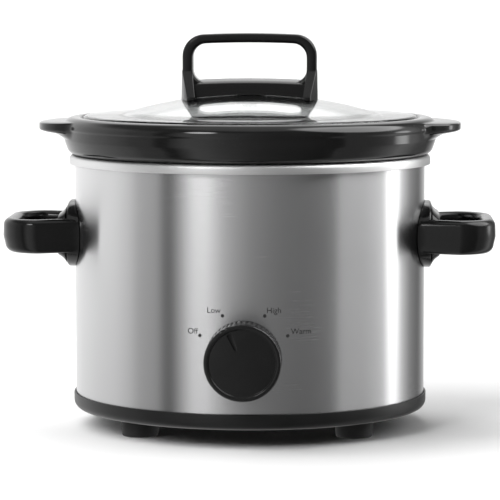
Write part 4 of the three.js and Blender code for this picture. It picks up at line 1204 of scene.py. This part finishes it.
flares = [
    (edge_round * (1 - cos(radians(turn))), edge_round * (1 - sin(radians(turn))))
    for turn in range(0, 91, 15)]
finger_sections = [(grip_bottom - 20 * mm, edge_round)]
finger_sections += [(grip_bottom - 0.03 * mm + depth, flare) for depth, flare in flares]
finger_sections += [(grip_top_level + 0.03 * mm - depth, flare) for depth, flare in reversed(flares)]
finger_sections.append((grip_top_level + 20 * mm, edge_round))
finger_space = lofted([
    [(x, y, z) for x, y in finger_outline(flare)] for z, flare in finger_sections])
print("grip", len(grip.faces), "faces, finger hole", len(finger_space.faces))

# %% [markdown]
# The flange is a loft of rings, from an oval on the shell to the plate's own end along a
# quarter circle. The oval gets squarer on the way, so that it meets the plate without a
# step. The body's own round is taken away from the back, and the left handle is the
# right one mirrored.

# %% Flange, shell side and screw holes
def squarish(angle, half_y, half_z, power):
    """A point on an oval that gets squarer as the power grows."""
    across, up = cos(angle), sin(angle)
    return (abs(across) ** (2 / power) * half_y * (1 if across > 0 else -1),
            abs(up) ** (2 / power) * half_z * (1 if up > 0 else -1))


def flange_ring(x, half_y, half_z, power, rise=0.0, points=96):
    """One closed ring of the flange at a distance from the axis."""
    ring = [squarish(2 * pi * (number + 0.5) / points, half_y, half_z, power) for number in range(points)]
    return [(x, y, level + rise + z) for y, z in ring]


oval_y, oval_z, oval_power = 30.6 * mm, 19 * mm, 2.4
neck_y, neck_z, neck_power = 29.5 * mm, 9.6 * mm, 5
neck_rise = 0.35 * mm
fillet = 13 * mm
edge_steps = [(-1.2, 0, 0), (-0.6, 0.15, 0.2), (-0.1, 0.6, 0.7), (0.2, 0.8, 1.4)]
rings = [flange_ring(shell_radius - 10 * mm, oval_y, oval_z, oval_power)]
for ahead, less_y, less_z in edge_steps:
    rings.append(flange_ring(
        flange_face + ahead * mm, oval_y - less_y * mm, oval_z - less_z * mm, oval_power))
for turn in range(15, 91, 7):
    inward, outward = sin(radians(turn)), 1 - cos(radians(turn))
    rings.append(flange_ring(
        flange_face + fillet * outward, between(oval_y, neck_y, inward),
        between(oval_z, neck_z, inward), between(oval_power, neck_power, inward), neck_rise * inward))
rings.append(flange_ring(
    flange_face + fillet + 2 * mm, neck_y - 1 * mm, neck_z - 1 * mm, neck_power, neck_rise))
side_handle = combined(grip, lofted(rings), "UNION")
side_handle = combined(side_handle, finger_space, "DIFFERENCE")
body_half_height = 200 * mm
body_space = upright(
    shell_radius + 0.3 * mm, -body_half_height, body_half_height, segments=smooth_steps)
side_handle = combined(side_handle, body_space, "DIFFERENCE")
screw_holes = joined(*[
    pin(screw_bore, Vector((shell_radius - 10 * mm, 0, height)),
        Vector((shell_radius + 4.8 * mm, 0, height))) for height in handle_screws])
side_handle = combined(side_handle, screw_holes, "DIFFERENCE")
other_side = side_handle.copy()
bmesh.ops.scale(other_side, verts=other_side.verts[:], vec=(-1, 1, 1))
bmesh.ops.reverse_faces(other_side, faces=other_side.faces[:])
piece("side_grip_right", standing(side_handle), "gloss_plastic", "cooker", "side_handle_right", sharp=28)
piece("side_grip_left", standing(other_side), "gloss_plastic", "cooker", "side_handle_left", sharp=28)

# %% [markdown]
# ## Heat knob
#
# The knob is a shallow cup of gloss plastic. Its side has fine ribs for grip, its face is
# slightly domed inside a narrow raised rim, and a groove points at the setting. It is
# turned about Z, ribbed by moving the side's points in and out with the angle, and then
# laid over to face the front.

# %% Control knob
knob_radius = (knob_high.x - knob_low.x) / 2
knob_front = axis.y - knob_low.y
cup_back = shell_radius + 1.3 * mm
face_back = knob_front - 3 * mm
face_middle = knob_front - 0.05 * mm
face_dip = 0.75 * mm
ribs = 48
face_points = [
    (radius * mm, face_middle - face_dip * (radius / 17.6) ** 2) for radius in (15, 12, 9, 6, 3)]
bm = turned([
    (0, face_back), (knob_radius - 2 * mm, face_back, 0.8 * mm),
    (knob_radius - 2 * mm, cup_back, 0.3 * mm), (knob_radius, cup_back, 0.3 * mm),
    (knob_radius, cup_back + 1.5 * mm), (knob_radius, knob_front - 2 * mm),
    (knob_radius, knob_front, 1 * mm), (knob_radius - 2.4 * mm, knob_front, 0.5 * mm),
    (knob_radius - 2.8 * mm, knob_front - 0.9 * mm, 0.3 * mm),
    (knob_radius - 3.4 * mm, knob_front - 0.8 * mm, 0.3 * mm), *face_points,
    (0, face_middle)], steps=360)
for vertex in bm.verts:
    distance = from_axis(vertex.co)
    if distance > knob_radius - 0.2 * mm and cup_back + 1 * mm < vertex.co.z < knob_front - 1.5 * mm:
        angle = atan2(vertex.co.y, vertex.co.x)
        push_out(vertex, distance, -0.8 * mm * (1 - abs(sin(ribs * angle / 2))) ** 0.6)
hub = upright(6.5 * mm, shell_radius + 4 * mm, face_back + 1 * mm)
bm = combined(bm, hub, "UNION")
shaft_space = upright(3.3 * mm, shell_radius, shell_radius + 15.3 * mm)
bm = combined(bm, shaft_space, "DIFFERENCE")
pointer = block((3.4 * mm, 9.5 * mm, 3.2 * mm))
for vertex in pointer.verts:
    vertex.co.x *= 0.6 if vertex.co.y < 0 else 1
moved(bevelled(pointer, 0.5 * mm, segments=2), (0, 12.6 * mm, knob_front - 0.2 * mm))
bm = combined(bm, pointer, "DIFFERENCE")
setting = Matrix.Rotation(radians(24), 4, "Z")
facing = Matrix.Translation(axis + knob_middle) @ Matrix.Rotation(pi / 2, 4, "X") @ setting
piece("heat_knob", placed(bm, facing), "gloss_plastic", "knob", "control_knob", sharp=30)

# %% [markdown]
# ## Cord gland
#
# A cord would leave through this rubber bush at the back. It is turned and laid over too.

# %% Cord gland
gland_radius = (gland_high.x - gland_low.x) / 2
gland_seat = shell_radius + 0.3 * mm
gland_end = gland_high.y - axis.y
gland_tail = gland_low.y - axis.y
bm = turned([
    (3.2 * mm, gland_tail, 0.4 * mm), (6 * mm, gland_tail, 0.4 * mm), (6 * mm, gland_seat),
    (gland_radius, gland_seat, 0.3 * mm), (gland_radius, gland_seat + 1.5 * mm, 0.4 * mm),
    (gland_radius - 2 * mm, gland_end, 0.5 * mm), (3.2 * mm, gland_end, 0.5 * mm)], steps=64)
placed(bm, Matrix.Translation(axis + gland_middle) @ Matrix.Rotation(-pi / 2, 4, "X"))
piece("cord_bush", bm, "foot_rubber", "cooker", "cord_gland")

# %% [markdown]
# ## Dial marks
#
# The settings are printed on the steel in grey-black ink: a dot for each and a plain word
# beside it. A dot is a small disc and a word is a text turned into a mesh. Each is laid
# flat in front of the body and then wrapped on it, a hair above the steel, by swapping
# its sideways distance for an angle round the axis.

# %% Ink and wrapping
tree, shader = new_material("dial_ink", IOR=1.45)
printed = use_group(tree, moulding, Grain_Size=0.15 * mm, Cloud_Size=2 * mm)
shaded(tree, shader, printed.outputs["Clouds"], 0.018, 0.03)
tree.links.new(spread(tree, printed.outputs["Grain"], 0.45, 0.65), shader.inputs["Roughness"])
bumped(tree, shader, printed.outputs["Grain"], 0.004 * mm)
ink_radius = shell_radius + 0.06 * mm


def wrapped(bm):
    """Lays flat XZ artwork round the steel, sideways distance becoming angle."""
    for vertex in bm.verts:
        angle = vertex.co.x / shell_radius
        vertex.co.x = ink_radius * sin(angle)
        vertex.co.y = axis.y - ink_radius * cos(angle)
    return bm


def print_mark(name, bm, x, z):
    """Stands flat artwork up, places it on the front and wraps it on the steel."""
    placed(bm, Matrix.Translation((x, 0, z)) @ Matrix.Rotation(pi / 2, 4, "X"))
    wrapped(bm)
    if faced_out(bm).faces[0].normal.y > 0:
        bmesh.ops.reverse_faces(bm, faces=bm.faces[:])
    mesh = bpy.data.meshes.new(name)
    bm.to_mesh(mesh)
    bm.free()
    mesh.materials.append(finishes["dial_ink"])
    mark = added(name, mesh)
    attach(mark, "cooker")


def written(word, side):
    """A word as a flat mesh, which ends or starts at the origin."""
    text = bpy.data.curves.new("word", "FONT")
    text.body = word
    text.size = 4.4 * mm
    text.align_x = side
    holder = added("word", text)
    bpy.context.view_layer.update()
    flat = holder.evaluated_get(bpy.context.evaluated_depsgraph_get())
    bm = bmesh.new()
    bm.from_mesh(flat.to_mesh())
    flat.to_mesh_clear()
    bpy.data.objects.remove(holder)
    bpy.data.curves.remove(text)
    return bm


print("ink lies", round((ink_radius - shell_radius) / mm, 2), "mm above the steel")

# %% [markdown]
# The marks stand on a circle round the knob. Each word starts or ends beside its dot, on
# the side away from the knob.

# %% Dots and words
dial_radius = 28.3 * mm
dial_middle = knob_middle.z - 2.4 * mm
dot_radius = 0.95 * mm
settings = [
    ("off", "Off", -58.5, "RIGHT", (-1.2, 0.9)), ("low", "Low", -24, "RIGHT", (-1.0, 1.5)),
    ("high", "High", 24, "LEFT", (0.9, 1.5)), ("warm", "Warm", 58.5, "LEFT", (1.8, 0.9))]
for name, word, angle, side, (across, up) in settings:
    dot_x = dial_radius * sin(radians(angle))
    dot_z = dial_middle + dial_radius * cos(radians(angle))
    dot = bmesh.new()
    bmesh.ops.create_circle(dot, cap_ends=True, segments=24, radius=dot_radius)
    print_mark("dot_" + name, dot, dot_x, dot_z)
    print_mark("word_" + name, written(word, side), dot_x + across * mm, dot_z + up * mm)
print("dial marked")

# %% [markdown]
# ## Sizes and finish
#
# The model is built to the CAD's size, and both boxes are printed.

# %% Sizes
visual_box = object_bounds()
for name, box in (("CAD", cad_box), ("visual", visual_box)):
    print(name, [[round(value / mm, 2) for value in point] for point in box])
